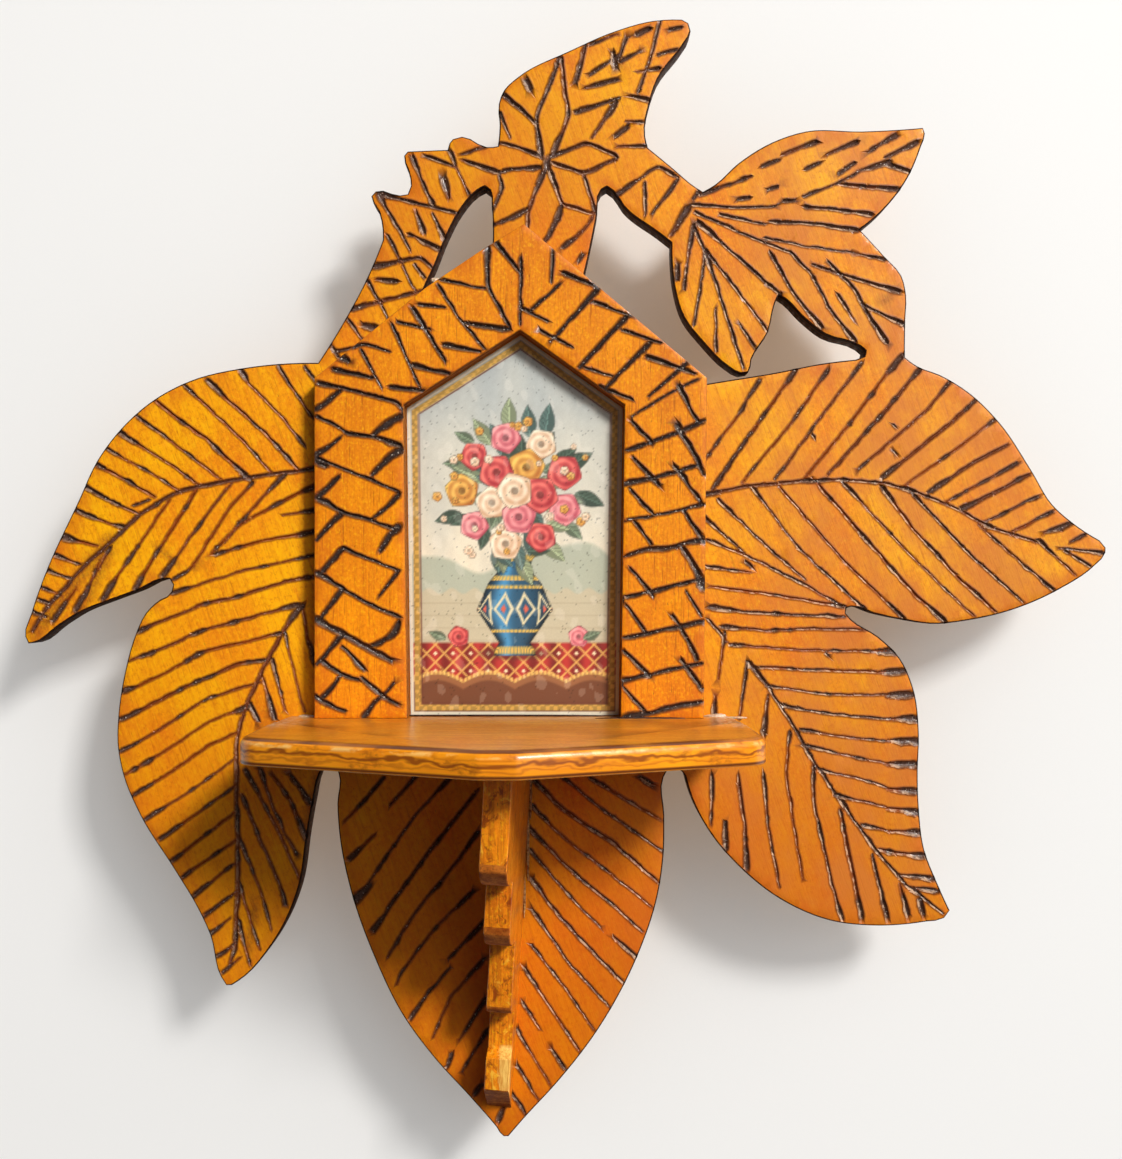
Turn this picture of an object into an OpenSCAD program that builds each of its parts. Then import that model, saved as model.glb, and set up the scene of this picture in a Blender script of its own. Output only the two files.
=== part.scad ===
// Folk wall retablo in scroll-sawn plywood.
// A leaf-spray back board carries a house-shaped arch frame with a picture card,
// over a small pointed shelf that stands on a stepped, scalloped bracket.
// +X is right, +Z is up and the front faces -Y. Y = 0 is the wall.
// The origin is the mouth of the blind hanging hole in the back of the board.

/* [Back board] */
// Thickness of the plywood back board
board_t = 6; // [5:0.5:9]
// Overall width of the leaf spray
spray_w = 270.5; // [265:0.5:300]
// Overall height of the leaf spray
spray_h = 279.5; // [275:0.5:310]
// Radius of the blind hanging hole
hang_r = 3; // [2:0.5:4]
// Wood left in front of the hanging hole
hang_skin = 1; // [0.5:0.25:2]

/* [Carving] */
// Depth of the carved lines in the board's face
carve_d = 0.6; // [0.3:0.1:0.8]
// Width of a midrib at its root
rib_w = 1.5; // [0.8:0.1:2]
// Width of a vein at its root
vein_w = 1.1; // [0.6:0.1:1.6]
// Length of the flower's longest petal
petal_l = 26.5; // [22:0.5:27]
// Width of every petal
petal_w = 8.4; // [6:0.2:10]

/* [Arch frame] */
// Thickness of the frame board
frame_t = 6; // [5:0.5:9]
// Width of the frame across its sides
frame_w = 95.6; // [90:0.2:104]
// Height of the frame's straight sides above the shelf
frame_side_h = 83.6; // [80:0.2:88]
// Outward lean of the frame's right side, at its top
frame_flare = 0.8; // [0:0.1:1.5]
// Rise of the gable above the sides
gable_rise = 37.8; // [34:0.2:42]
// Distance of the gable's point to the right of the middle
gable_x = 3.6; // [-4:0.2:8]
// Outward bow of the hand-cut left slope
gable_bow = 1.7; // [0:0.1:3]

/* [Picture opening] */
// Width of the opening at its shoulders
opening_w = 54.4; // [44:0.2:60]
// Height of the opening's sides above the shelf
opening_side_h = 77; // [60:0.5:78]
// Rise of the opening's point above its sides
opening_rise = 18.4; // [12:0.2:22]
// Distance of the opening's middle to the right of the frame's
opening_x = 1.2; // [-3:0.1:3]
// Distance of the opening's point to the right of the frame's middle
opening_point_x = 2.7; // [-3:0.1:6]
// Lean of each side of the opening towards the middle, at the shelf
opening_lean = 1; // [0:0.1:2]

/* [Picture card] */
// Thickness of the printed card
card_t = 0.4; // [0.2:0.1:1]
// Clearance between the card's edge and the opening
card_clear = 0.25; // [0.1:0.05:0.6]

/* [Shelf] */
// Thickness of the shelf board
shelf_t = 6; // [5:0.5:9]
// Width of the shelf's rear edge
shelf_back_w = 109; // [100:0.2:116]
// Width of the shelf across its front corners
shelf_front_w = 116.6; // [106:0.2:124]
// Depth of the shelf's sides
shelf_side_d = 43; // [38:0.5:50]
// Depth of the shelf at its point
shelf_d = 65; // [58:0.5:72]
// Width of the blunt point
shelf_tip_w = 8; // [4:0.5:14]
// Radius of the front corners
shelf_corner_r = 8; // [4:0.5:12]
// Radius of the edges of the blunt point
shelf_tip_r = 3; // [1:0.5:4]

/* [Bracket] */
// Thickness of the bracket board
bracket_t = 6; // [5:0.5:9]
// Height of the bracket below the shelf
bracket_h = 92; // [87:0.5:95]
// Depth of the top step
step_1_d = 50; // [44:0.5:56]
// Height of the top step
step_1_h = 20.2; // [16:0.2:24]
// Depth of the second step
step_2_d = 34; // [30:0.5:38]
// Height of the second step
step_2_h = 10.4; // [8:0.2:12]
// Depth of the third step
step_3_d = 18; // [16:0.5:24]
// Height of the third step
step_3_h = 16; // [12:0.2:18]
// Depth of the waist above the foot
waist_d = 8.5; // [6:0.5:12]
// Height of the scallop under each of the upper steps
scallop_h = 7.2; // [4:0.2:8]
// Height of the small scallop above the waist
waist_scallop_h = 3.2; // [2:0.2:5]
// Depth of the foot
foot_d = 11.6; // [9:0.2:15]
// Height of the foot's front
foot_h = 7.8; // [6:0.2:9]
// Height of the short slope above the foot
foot_top_h = 1.4; // [0.6:0.2:2]
// Height of the slope that ends the foot
foot_slope_h = 8.6; // [3:0.2:9]
// Distance of the bracket's rear edge to the right of the middle, at the shelf
bracket_x = 2.8; // [-4:0.2:4]
// Sideways lean of the bracket, in degrees
bracket_lean = 3.4; // [0:0.2:4]
// Swing of the bracket's front to the left, in degrees
bracket_swing = 3.7; // [0:0.1:5]

/* [Nails] */
// Radius of the pins that hold the frame
frame_nail_r = 0.6; // [0.5:0.05:1]
// Distance of the frame pins' points behind the frame's face
frame_nail_cover = 2; // [1:0.5:3]
// Radius of the nails in the shelf and the bracket
nail_r = 0.75; // [0.5:0.05:1.2]
// Bite of the nails in the shelf
shelf_nail_bite = 19; // [12:0.5:30]
// Bite of the nails in the bracket
bracket_nail_bite = 14; // [8:0.5:15]
// Spacing of the shelf nails
shelf_nail_gap = 38; // [30:0.5:44]
// Thickness of every nail head
nail_head_t = 0.8; // [0.5:0.1:1.2]
// Step from a nail's shank out to the edge of its head
nail_head_lip = 0.6; // [0.4:0.1:1]
// Clearance round every nail
nail_clear = 0.05; // [0.02:0.01:0.1]

/* [Hidden] */
$fn = 48;
// Overlap of a cutting tool with the open air
over = 1;
// Longest straight run on a sawn curve
saw_step = 2.4;

// Height of the shelf's top, where the frame stands
shelf_z = -104.1;
board_face = -board_t;
frame_face = board_face - frame_t;
shelf_under = shelf_z - shelf_t;

// Stretch of the leaf spray from the size its points are written at
spray_k = [spray_w / 270.5, spray_h / 279.5];

// Points of a sawn curve, from the first of p up to but without its last
function run(p, i) = norm(p[i + 1] - p[i]);
function slope(p, i) = (p[i + 1] - p[i]) / run(p, i);
function bend(p, i) =
    (slope(p, i - 1) * run(p, i) + slope(p, i) * run(p, i - 1)) / (run(p, i - 1) + run(p, i));
function heading(p, i) =
    len(p) == 2 ? slope(p, 0)
    : i == 0 ? 2 * slope(p, 0) - bend(p, 1)
    : i == len(p) - 1 ? 2 * slope(p, i - 1) - bend(p, i - 1)
    : bend(p, i);
function between(a, b, ta, tb, s) =
    (2 * s ^ 3 - 3 * s ^ 2 + 1) * a + (s ^ 3 - 2 * s ^ 2 + s) * ta
    + (3 * s ^ 2 - 2 * s ^ 3) * b + (s ^ 3 - s ^ 2) * tb;
function sawn(p) = [
    for (i = [0 : len(p) - 2])
        let (n = ceil(run(p, i) / saw_step))
        for (k = [0 : n - 1])
            between(p[i], p[i + 1], run(p, i) * heading(p, i), run(p, i) * heading(p, i + 1), k / n)
];

// Outline of the leaf spray, anticlockwise on the front. Each list is one sweep of
// the saw, a smooth curve from one corner to the next.
spray_sweeps = [
    // upper left leaf: top edge, then underside to its notch
    [[-48, -15.8], [-55, -15.9], [-66, -17], [-80, -20.3], [-89, -25], [-97.5, -32.5],
        [-103.4, -40.5], [-107.8, -50], [-116.3, -68.5], [-119.8, -78.5], [-121.3, -84.3],
        [-120.5, -86], [-119.3, -85.9], [-112.5, -81.3], [-107.5, -78.2], [-100, -75.2],
        [-92.5, -72.4], [-87, -69.9], [-85.2, -69.8], [-84.3, -71.3], [-84.7, -73], [-87.5, -75]],
    // lower left leaf: outer edge to the tip
    [[-87.5, -75], [-91.2, -78.5], [-93.6, -83.5], [-96.3, -93], [-98, -104], [-98.2, -111],
        [-96.8, -118.8], [-92.5, -129], [-84, -142.5], [-78, -152.5], [-75, -159], [-72.3, -169.5],
        [-71, -171.5], [-69.6, -171.5]],
    // lower left leaf: inner edge, and the round top of the left slit
    [[-69.6, -171.5], [-66, -169], [-60, -162], [-55.6, -154.5], [-52.8, -147], [-50.6, -133],
        [-49.2, -125.2], [-47.6, -118.5], [-46.4, -116.5], [-44.2, -116.3], [-42.9, -118.5],
        [-43.2, -126], [-42.6, -134.5], [-39.8, -148], [-34, -164.3], [-26.5, -179.5],
        [-19.5, -189], [-9.5, -200], [-3.4, -207], [-1.6, -209.3], [-0.4, -209.3]],
    // middle leaf: right edge, and the top of the right slit
    [[-0.4, -209.3], [3.5, -204.8], [11.8, -195.8], [20.5, -184.8], [27, -174.3], [32.6, -162.5],
        [36.6, -150.5], [38.4, -139], [38.6, -129], [38.4, -119.5], [39.4, -117.6], [42, -117.4],
        [43.8, -119.2]],
    // lower right leaf: underside to the tip
    [[43.8, -119.2], [45.3, -124.3], [50.5, -134], [57, -141.5], [67.5, -149.9], [80, -155.3],
        [92, -156.6], [104, -155.6], [108.6, -154.7], [110, -152.8]],
    // lower right leaf: outer edge, and the right notch
    [[110, -152.8], [106.8, -145.8], [103.6, -137.5], [102.3, -127.5], [102, -118], [102.3, -109],
        [100.8, -97], [97.6, -89.8], [92, -84.2], [85.3, -79.9], [84, -78.4], [84.2, -77.1],
        [85.4, -76.8], [91, -78.5], [98.5, -80.1], [105, -81.1], [114, -80.3], [125, -77.8],
        [137.5, -72.4], [146.5, -66.3], [149, -63.3], [149, -62], [147.5, -60.2]],
    // upper right leaf: top edge to the three-lobed leaf
    [[147.5, -60.2], [140.5, -55.6], [135.8, -51.4], [130.5, -42.8], [122.5, -30.8], [115, -23.4],
        [107.5, -18.8], [102, -16.7], [98.8, -14.4]],
    // three-lobed leaf: middle lobe
    [[98.8, -14.4], [98.9, -5], [99.1, 1], [97.9, 6], [93.5, 11], [87.5, 17.5]],
    // three-lobed leaf: top lobe
    [[87.5, 17.5], [94.5, 23.6], [99.5, 30.5], [102.8, 38.3], [103.8, 41.6], [103.3, 43]],
    [[103.3, 43], [88, 42.1], [74, 42.1], [65.5, 39.3], [57, 34], [51.3, 28.8], [48.3, 27]],
    // short right stem
    [[48.3, 27], [46.8, 27.9], [40, 33.5], [34.5, 38]],
    // top leaf: right edge to the tip
    [[34.5, 38], [33.8, 41], [34.9, 49], [37, 55.2], [43.5, 64], [45.2, 67.2], [44.6, 69.2],
        [43, 70.1]],
    // top leaf: long top edge, round the left end
    [[43, 70.1], [36, 69.8], [26.3, 67.2], [15, 62.3], [2, 55.7], [-1.5, 52.4], [-2.8, 49],
        [-2.6, 43.8], [-3, 38.4]],
    // toothed stem: three teeth
    [[-3, 38.4], [-5.8, 38.2], [-12, 40.8], [-14.3, 40.2], [-15.6, 37.5]],
    [[-15.6, 37.5], [-25.6, 37.1]],
    [[-25.6, 37.1], [-26.5, 36], [-25.4, 32], [-24.8, 28.5], [-25.6, 26.4],
        [-27.5, 26.1], [-33.6, 27.1], [-34.7, 25.9], [-32.8, 22], [-31.8, 15]],
    // toothed stem: straight edge down to the upper left leaf
    [[-31.8, 15], [-35.5, 6], [-41.3, -5], [-48, -15.8]]
];

// Left window, between the toothed stem and the flower. Its last side lies behind the frame.
left_window_sweeps = [
    [[-4.7, 9.5], [-4.6, 24], [-5, 27.3], [-6.3, 28.3], [-8, 27.4], [-12.3, 22.6], [-15.8, 16],
        [-19, 8], [-21.8, 2], [-22.4, 0.2]],
    [[-22.4, 0.2], [-4.7, 9.5]]
];

// Right window, from the flower's stalk round the lower lobe. Its first side lies behind the frame.
right_window_sweeps = [
    [[17.8, 2.8], [46, -21.6]],
    [[46, -21.6], [52.5, -20.5], [65, -18.5], [80, -15.7], [86.5, -15]],
    [[86.5, -15], [88.6, -14.2], [88.9, -12.8], [87.6, -11.7], [78.8, -8.7], [73, -4.1], [69, 0],
        [67.2, 1.2]],
    // both sides of the lower lobe
    [[67.2, 1.2], [66.2, -1.2], [64.6, -8], [60.4, -15], [59.6, -18.2], [57.6, -18.5],
        [54.5, -16.8], [48, -10.4], [43.4, -4.4], [41.2, 2.5], [40.4, 9], [40.3, 14.2]],
    [[40.3, 14.2], [37.2, 16.6], [28.3, 23.4], [25.9, 27], [24.2, 28.2], [22.9, 27.4],
        [21.8, 21.3], [19.6, 10.5], [17.8, 2.8]]
];

function stretched(p) = [for (q = p) [q.x * spray_k.x, q.y * spray_k.y]];
function spray_outline(sweeps) = [for (sweep = sweeps) each sawn(stretched(sweep))];

// A carved line along points p, w wide at its root and narrowing to its tip
tip_share = 0.45;
function sideways(p, i) =
    let (u = p[min(i + 1, len(p) - 1)] - p[max(i - 1, 0)]) [-u.y, u.x] / norm(u);
function carved_sides(p, w) =
    let (
        n = len(p) - 1,
        half = [for (i = [0 : n]) w / 2 * (1 - (1 - tip_share) * i / n)]
    ) [
        for (i = [0 : n]) p[i] + sideways(p, i) * half[i],
        for (i = [n : -1 : 0]) p[i] - sideways(p, i) * half[i]
    ];
module carved_line(p, w) {
    polygon(carved_sides(stretched(p), w));
}

// Veins, each from a place along the roots to the place as far along the tips
function place_along(p, share) =
    let (t = share * (len(p) - 1), i = min(floor(t), len(p) - 2)) p[i] + (p[i + 1] - p[i]) * (t - i);
module veins(n, roots, tips) {
    for (k = [0 : n - 1])
        carved_line([place_along(roots, k / (n - 1)), place_along(tips, k / (n - 1))], vein_w);
}

// Midribs and the lines between leaves, each from its root
ribs = [
    // upper left, lower left, lower right and upper right leaf
    [[-49, -42.6], [-56.3, -43.3], [-70, -45.3], [-82.5, -47.8], [-93.3, -54.3], [-105.5, -65.5],
        [-115.5, -76.5], [-119.3, -82.5]],
    [[-51.8, -76.3], [-56.8, -83.3], [-62, -93], [-67.5, -106.3], [-68.5, -125], [-68, -145],
        [-70, -166.3]],
    [[53, -82], [59.5, -90.5], [70.8, -106.5], [84.5, -128], [98.8, -146.3], [108, -153.3]],
    [[49, -48.9], [58.8, -46.8], [72.5, -45.5], [93, -45.8], [111.3, -52], [132.5, -60.8]],
    // top leaf
    [[32, 52], [35, 60], [37.2, 68.8]],
    // lines between the two left leaves, and between the two right leaves
    [[-49, -47], [-62, -53.3], [-74.5, -63.3]],
    [[-49, -58], [-63.8, -60.8], [-73.8, -63.8]],
    [[49.5, -60], [61.3, -65], [75, -72], [83, -76.4]],
    [[50, -77], [60, -78.3], [83, -79.2]],
    // neck under the flower, and the short right stem
    [[13.5, 13.2], [17.5, 16.3], [20.6, 20.6]],
    [[27.5, 26.8], [36.8, 33.5], [41.5, 30.8]],
    // toothed stem
    [[-32, 26], [-20, 23.3], [-12.8, 21.4]],
    [[-32, 24.6], [-27.5, 17], [-25, 12.5]],
    [[-24.2, 35.5], [-21.6, 29.2], [-19.5, 23.8]],
    [[-15, 36.5], [-12.4, 31], [-10.2, 26.2]],
    [[-33, 8.2], [-27, 9.8], [-21.4, 7.4]],
    [[-38.5, -2.1], [-30, 0.2], [-23.4, 2]]
];

// Veins of each side of each leaf, as their number, their roots and their tips
vein_rows = [
    // upper left leaf: above and below its midrib
    [14, [[-51.5, -36.5], [-66.5, -43.5], [-85.5, -48], [-101, -60], [-112, -73.5]],
        [[-67.5, -18.5], [-90, -26.8], [-102.2, -39.6], [-110.8, -57.3], [-117.3, -72]]],
    [6, [[-64.5, -46], [-82, -49.5], [-109, -72.5]], [[-80.5, -66.5], [-97.5, -72.6], [-113.5, -79.6]]],
    // lower left leaf: left and right
    [15, [[-49.3, -63.8], [-59, -86.5], [-68, -108.5], [-68.8, -131.5], [-70, -154.5]],
        [[-83.5, -73.1], [-95.3, -101], [-93.5, -123.5], [-82.8, -142.2], [-74.6, -158.3]]],
    [9, [[-53.5, -79.5], [-64, -98], [-67.5, -117], [-67.8, -137], [-68.4, -156]],
        [[-49.5, -93], [-50, -115], [-52.8, -140], [-58.6, -154], [-65.2, -165.8]]],
    // middle leaf: left and right of the bracket
    [9, [[-31.3, -119.5], [-9.5, -120], [-8, -149], [-5.5, -181]],
        [[-40.6, -130], [-35.4, -154], [-26.6, -173.8], [-11.6, -192.4]]],
    [14, [[20, -119.5], [5.8, -127], [5.8, -149], [3.7, -172], [0.8, -197.5]],
        [[37, -129.6], [34.4, -153], [26, -173.8], [13.2, -190], [4, -203.3]]],
    // lower right leaf: right and left
    [12, [[54.5, -82.2], [69, -101.7], [82.6, -123.2], [97.3, -143.8]],
        [[88.5, -82.4], [99.2, -103], [100.4, -124.5], [103.6, -144.6]]],
    [9, [[54, -85.8], [68, -105.7], [78.3, -121.5], [97.2, -146.6]],
        [[51.6, -129.5], [65.2, -145.4], [84.4, -153.8], [99.3, -153]]],
    // upper right leaf: above and below its midrib
    [15, [[49.8, -40], [69.5, -44.5], [92.5, -44.5], [111, -50.8], [133.5, -58.6]],
        [[62.5, -20.5], [93, -16.6], [115.8, -25.4], [127, -42.2], [139.3, -55.6]]],
    [9, [[52, -50], [75, -46.6], [98, -48.6], [131, -61.4]],
        [[74.4, -70.4], [104.6, -79.2], [118, -78], [139.4, -69.4]]],
    // three-lobed leaf: out from its stem, then along the edge of each outer lobe
    [8, [[48.5, 26.7], [47, 23.5], [47.5, 19.5], [49, 14], [46.5, 11]],
        [[61, 31], [67.5, 20.5], [68.8, 8], [62.5, -11], [46.2, -4.5]]],
    [4, [[68, 36.3], [81, 35.8], [93.8, 35.5]], [[76.8, 39.5], [89, 40], [100.6, 39.6]]],
    [8, [[83, 29], [64.5, 19], [75, 9.5], [65.5, 12]], [[96, 27.6], [86, 17], [96, 0], [77, -5.6]]],
    // top leaf: left and right
    [5, [[16.5, 47], [18.5, 55], [20, 63.2]], [[27.5, 50.5], [27.3, 58.5], [27, 65.8]]],
    [5, [[27, 38.6], [31.5, 50.5], [36.5, 61.3]], [[32.8, 38.6], [35, 50], [41, 62.4]]]
];

// Flower of six long petals, as [direction in degrees, share of the longest petal]
flower_centre = [9, 33.8];
petals = [[5, 0.7], [83, 1], [170, 0.79], [222, 0.68], [257, 0.88], [315, 0.64]];
petal_root = 1.6;
shoulder_share = 0.45;
module petal(turn, l) {
    function at(out, aside) =
        flower_centre + out * [cos(turn), sin(turn)] + aside * [-sin(turn), cos(turn)];
    for (hand = [-1, 1])
        carved_line([at(petal_root, 0), at(l * shoulder_share, hand * petal_w / 2), at(l, 0)], vein_w);
}

module carving() {
    translate([0, board_face + carve_d, 0])
        rotate([90, 0, 0])
            linear_extrude(height = carve_d + over) {
                for (rib = ribs) carved_line(rib, rib_w);
                for (row = vein_rows) veins(row[0], row[1], row[2]);
                for (p = petals) petal(p[0], p[1] * petal_l);
            }
}

// Corners of the picture opening, made smaller all round by gap
function opening_points(gap) =
    let (
        half = opening_w / 2,
        low = shelf_z + gap,
        side_top = shelf_z + opening_side_h,
        pitch = atan2(opening_rise, half)
    ) [
        [opening_x - half + opening_lean + gap, low],
        [opening_x + half - opening_lean - gap, low],
        [opening_x + half - gap, side_top - gap * tan(pitch / 2)],
        [opening_point_x, side_top + opening_rise - gap / cos(pitch)],
        [opening_x - half + gap, side_top - gap * tan(pitch / 2)]
    ];

// Corners of the frame's outside, with the bowed left slope
function frame_points() =
    let (
        half = frame_w / 2,
        eave = shelf_z + frame_side_h,
        left = [-half, eave],
        point = [gable_x, eave + gable_rise],
        across = (point - left) / norm(point - left),
        bow = [-across.y, across.x] * gable_bow
    ) [
        [-half, shelf_z],
        [half, shelf_z],
        [half + frame_flare, eave],
        point,
        left + (point - left) * 0.8 + bow * 0.6,
        left + (point - left) * 0.55 + bow,
        left
    ];

// Points p with each corner rounded to its radius in r
function arc(a, b, c, r) =
    let (
        u = (a - b) / norm(a - b),
        v = (c - b) / norm(c - b),
        half = acos(u * v) / 2,
        centre = b + (u + v) / norm(u + v) * r / sin(half),
        from = b + u * r / tan(half) - centre,
        to = b + v * r / tan(half) - centre,
        start = atan2(from.y, from.x),
        sweep = (atan2(to.y, to.x) - start + 540) % 360 - 180,
        n = ceil(abs(sweep) / 12)
    ) [for (k = [0 : n]) centre + r * [cos(start + sweep * k / n), sin(start + sweep * k / n)]];
function rounded(p, r) = [
    for (i = [0 : len(p) - 1])
        let (before = p[(i + len(p) - 1) % len(p)], after = p[(i + 1) % len(p)])
        each r[i] == 0 ? [p[i]] : arc(before, p[i], after, r[i])
];

// A flat piece cut from board t thick, its face at y = face, drawn as [x, z]
module cut_board(points, face, t) {
    translate([0, face + t, 0])
        rotate([90, 0, 0])
            linear_extrude(height = t) polygon(points);
}

// Places in the frame's rails for its pins, as [x, z]
rail_inset = 12;
rail_x = [
    (opening_x - opening_w / 2 - frame_w / 2) / 2,
    (opening_x + opening_w / 2 + frame_w / 2) / 2
];
frame_nail_places = [
    for (x = rail_x, z = [shelf_z + rail_inset, shelf_z + opening_side_h - rail_inset]) [x, z]
];
frame_nail_l = board_t + frame_t - frame_nail_cover;

// Places in the shelf's rear edge
shelf_nail_places = [
    for (k = [-1 : 1]) [k * shelf_nail_gap, shelf_z - shelf_t / 2]
];
shelf_nail_l = board_t + shelf_nail_bite;

// Places in the bracket's rear edge, half a bite along its swing
function bracket_x_at(drop) = bracket_x - drop * tan(bracket_lean);
bracket_nail_drops = [step_1_h + 2, step_1_h + scallop_h + step_2_h + 1];
bracket_nail_places = [
    for (drop = bracket_nail_drops)
        [bracket_x_at(drop) - bracket_nail_bite / 2 * tan(bracket_swing), shelf_under - drop]
];
bracket_nail_l = board_t + bracket_nail_bite;

// A nail driven from the wall side, or its hole when grow is the clearance
module nail(place, r, l, grow = 0) {
    translate([place.x, grow > 0 ? over : 0, place.y])
        rotate([90, 0, 0]) {
            cylinder(r = r + nail_head_lip + grow, h = nail_head_t + grow + (grow > 0 ? over : 0));
            cylinder(r = r + grow, h = l + grow + (grow > 0 ? over : 0));
        }
}

module frame_nail_holes() {
    for (place = frame_nail_places) nail(place, frame_nail_r, frame_nail_l, nail_clear);
}

module shelf_nail_holes() {
    for (place = shelf_nail_places) nail(place, nail_r, shelf_nail_l, nail_clear);
}

module bracket_nail_holes() {
    for (place = bracket_nail_places) nail(place, nail_r, bracket_nail_l, nail_clear);
}

module back_board() {
    color("orange")
        difference() {
            rotate([90, 0, 0])
                linear_extrude(height = board_t)
                    difference() {
                        polygon(spray_outline(spray_sweeps));
                        polygon(spray_outline(left_window_sweeps));
                        polygon(spray_outline(right_window_sweeps));
                    }
            carving();
            // hanging hole, blind from the back
            translate([0, over, 0])
                rotate([90, 0, 0])
                    cylinder(r = hang_r, h = board_t - hang_skin + over);
            frame_nail_holes();
            shelf_nail_holes();
            bracket_nail_holes();
        }
}

module arch_frame() {
    color("darkorange")
        difference() {
            cut_board(frame_points(), frame_face, frame_t);
            // the opening runs out through the bottom edge
            translate([0, board_face + over, 0])
                rotate([90, 0, 0])
                    linear_extrude(height = frame_t + 2 * over) {
                        polygon(opening_points(0));
                        translate([opening_x - opening_w / 2 + opening_lean, shelf_z - over])
                            square([opening_w - 2 * opening_lean, 2 * over]);
                    }
            frame_nail_holes();
        }
}

module picture_card() {
    color("lightsteelblue")
        cut_board(opening_points(card_clear), board_face - card_t, card_t);
}

// Shelf plan as [x, depth], from the rear edge round to the blunt point
function shelf_points() = rounded(
    [
        [-shelf_back_w / 2, 0],
        [-shelf_front_w / 2, shelf_side_d],
        [-shelf_tip_w / 2, shelf_d],
        [shelf_tip_w / 2, shelf_d],
        [shelf_front_w / 2, shelf_side_d],
        [shelf_back_w / 2, 0]
    ],
    [0, shelf_corner_r, shelf_tip_r, shelf_tip_r, shelf_corner_r, 0]
);

module shelf() {
    color("goldenrod")
        difference() {
            translate([0, board_face, shelf_under])
                linear_extrude(height = shelf_t)
                    mirror([0, 1]) polygon(shelf_points());
            shelf_nail_holes();
        }
}

// Side view of the bracket as [depth, height below the shelf]
function scallop(d_out, d_in, top, h) = [
    for (k = [0 : 6]) [d_in + (d_out - d_in) * cos(15 * k), -top - h * sin(15 * k)]
];
step_2_top = step_1_h + scallop_h;
step_3_top = step_2_top + step_2_h + scallop_h;
foot_top = bracket_h - foot_slope_h - foot_h;
// Extra wood behind and above, sawn off flush with the board and the shelf
spare = 6;

function bracket_profile() = concat(
    [[-spare, spare], [step_1_d, spare]],
    scallop(step_1_d, step_2_d, step_1_h, scallop_h),
    scallop(step_2_d, step_3_d, step_2_top + step_2_h, scallop_h),
    scallop(step_3_d, waist_d, step_3_top + step_3_h, waist_scallop_h),
    [
        [waist_d, -foot_top + foot_top_h],
        [foot_d, -foot_top],
        [foot_d, -foot_top - foot_h],
        [0, -bracket_h],
        [-spare, -bracket_h]
    ]
);

module bracket() {
    color("peru")
        difference() {
            translate([bracket_x, board_face, shelf_under])
                rotate([0, bracket_lean, -bracket_swing])
                    translate([bracket_t / 2, 0, 0])
                        rotate([90, 0, -90])
                            linear_extrude(height = bracket_t) polygon(bracket_profile());
            // flush with the board's face
            translate([-spray_w / 2, board_face, shelf_under - 2 * bracket_h])
                cube([spray_w, 4 * spare, 3 * bracket_h]);
            // flush with the shelf's underside
            translate([-spray_w / 2, board_face - 2 * step_1_d, shelf_under])
                cube([spray_w, 3 * step_1_d, 4 * spare]);
            bracket_nail_holes();
        }
}

module frame_nails() {
    color("silver")
        for (place = frame_nail_places) nail(place, frame_nail_r, frame_nail_l);
}

module shelf_nails() {
    color("silver")
        for (place = shelf_nail_places) nail(place, nail_r, shelf_nail_l);
}

module bracket_nails() {
    color("silver")
        for (place = bracket_nail_places) nail(place, nail_r, bracket_nail_l);
}

back_board();
arch_frame();
picture_card();
shelf();
bracket();
frame_nails();
shelf_nails();
bracket_nails();
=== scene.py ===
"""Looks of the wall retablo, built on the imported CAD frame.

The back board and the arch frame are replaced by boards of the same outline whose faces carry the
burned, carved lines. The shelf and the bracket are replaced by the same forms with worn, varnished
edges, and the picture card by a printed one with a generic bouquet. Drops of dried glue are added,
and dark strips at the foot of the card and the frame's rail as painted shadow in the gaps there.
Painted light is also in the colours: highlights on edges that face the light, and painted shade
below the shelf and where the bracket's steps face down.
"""
import math

import bmesh
import bpy
import numpy as np
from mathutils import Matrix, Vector, geometry, kdtree


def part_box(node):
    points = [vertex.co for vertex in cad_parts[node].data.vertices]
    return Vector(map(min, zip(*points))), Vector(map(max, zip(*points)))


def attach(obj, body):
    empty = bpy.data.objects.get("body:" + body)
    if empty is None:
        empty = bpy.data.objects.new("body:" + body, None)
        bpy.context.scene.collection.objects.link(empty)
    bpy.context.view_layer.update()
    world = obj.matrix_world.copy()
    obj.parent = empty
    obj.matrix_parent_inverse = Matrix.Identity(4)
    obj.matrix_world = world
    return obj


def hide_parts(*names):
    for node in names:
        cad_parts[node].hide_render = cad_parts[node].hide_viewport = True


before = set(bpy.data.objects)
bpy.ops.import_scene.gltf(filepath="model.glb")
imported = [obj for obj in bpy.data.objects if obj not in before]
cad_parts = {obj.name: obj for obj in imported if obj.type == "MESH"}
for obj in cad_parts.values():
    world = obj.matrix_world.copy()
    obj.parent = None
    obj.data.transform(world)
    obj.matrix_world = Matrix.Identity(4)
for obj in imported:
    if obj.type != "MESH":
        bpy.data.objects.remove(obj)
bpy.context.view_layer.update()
MM = 0.001
rng = np.random.default_rng(7)

# Places in the frame, in millimetres
BOARD_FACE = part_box("back_board")[0].y / MM
FRAME_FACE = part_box("arch_frame")[0].y / MM
SHELF_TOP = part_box("shelf")[1].z / MM

# The photograph's view: eye before the board, and the long side's field
EYE = (12.75, -326.0, -70.0)
LENS_MM = 39.76
SENSOR_MM = 36


def in_scene(name, data):
    """A new object with that data, linked into the scene."""
    obj = bpy.data.objects.new(name, data)
    bpy.context.scene.collection.objects.link(obj)
    return obj


def make_camera():
    data = bpy.data.cameras.new("camera")
    data.lens = LENS_MM
    data.sensor_width = SENSOR_MM
    data.clip_start = 0.01
    camera = in_scene("camera", data)
    camera.location = Vector(EYE) * MM
    camera.rotation_euler = (math.radians(90), 0, 0)
    bpy.context.scene.camera = camera


make_camera()

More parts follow.
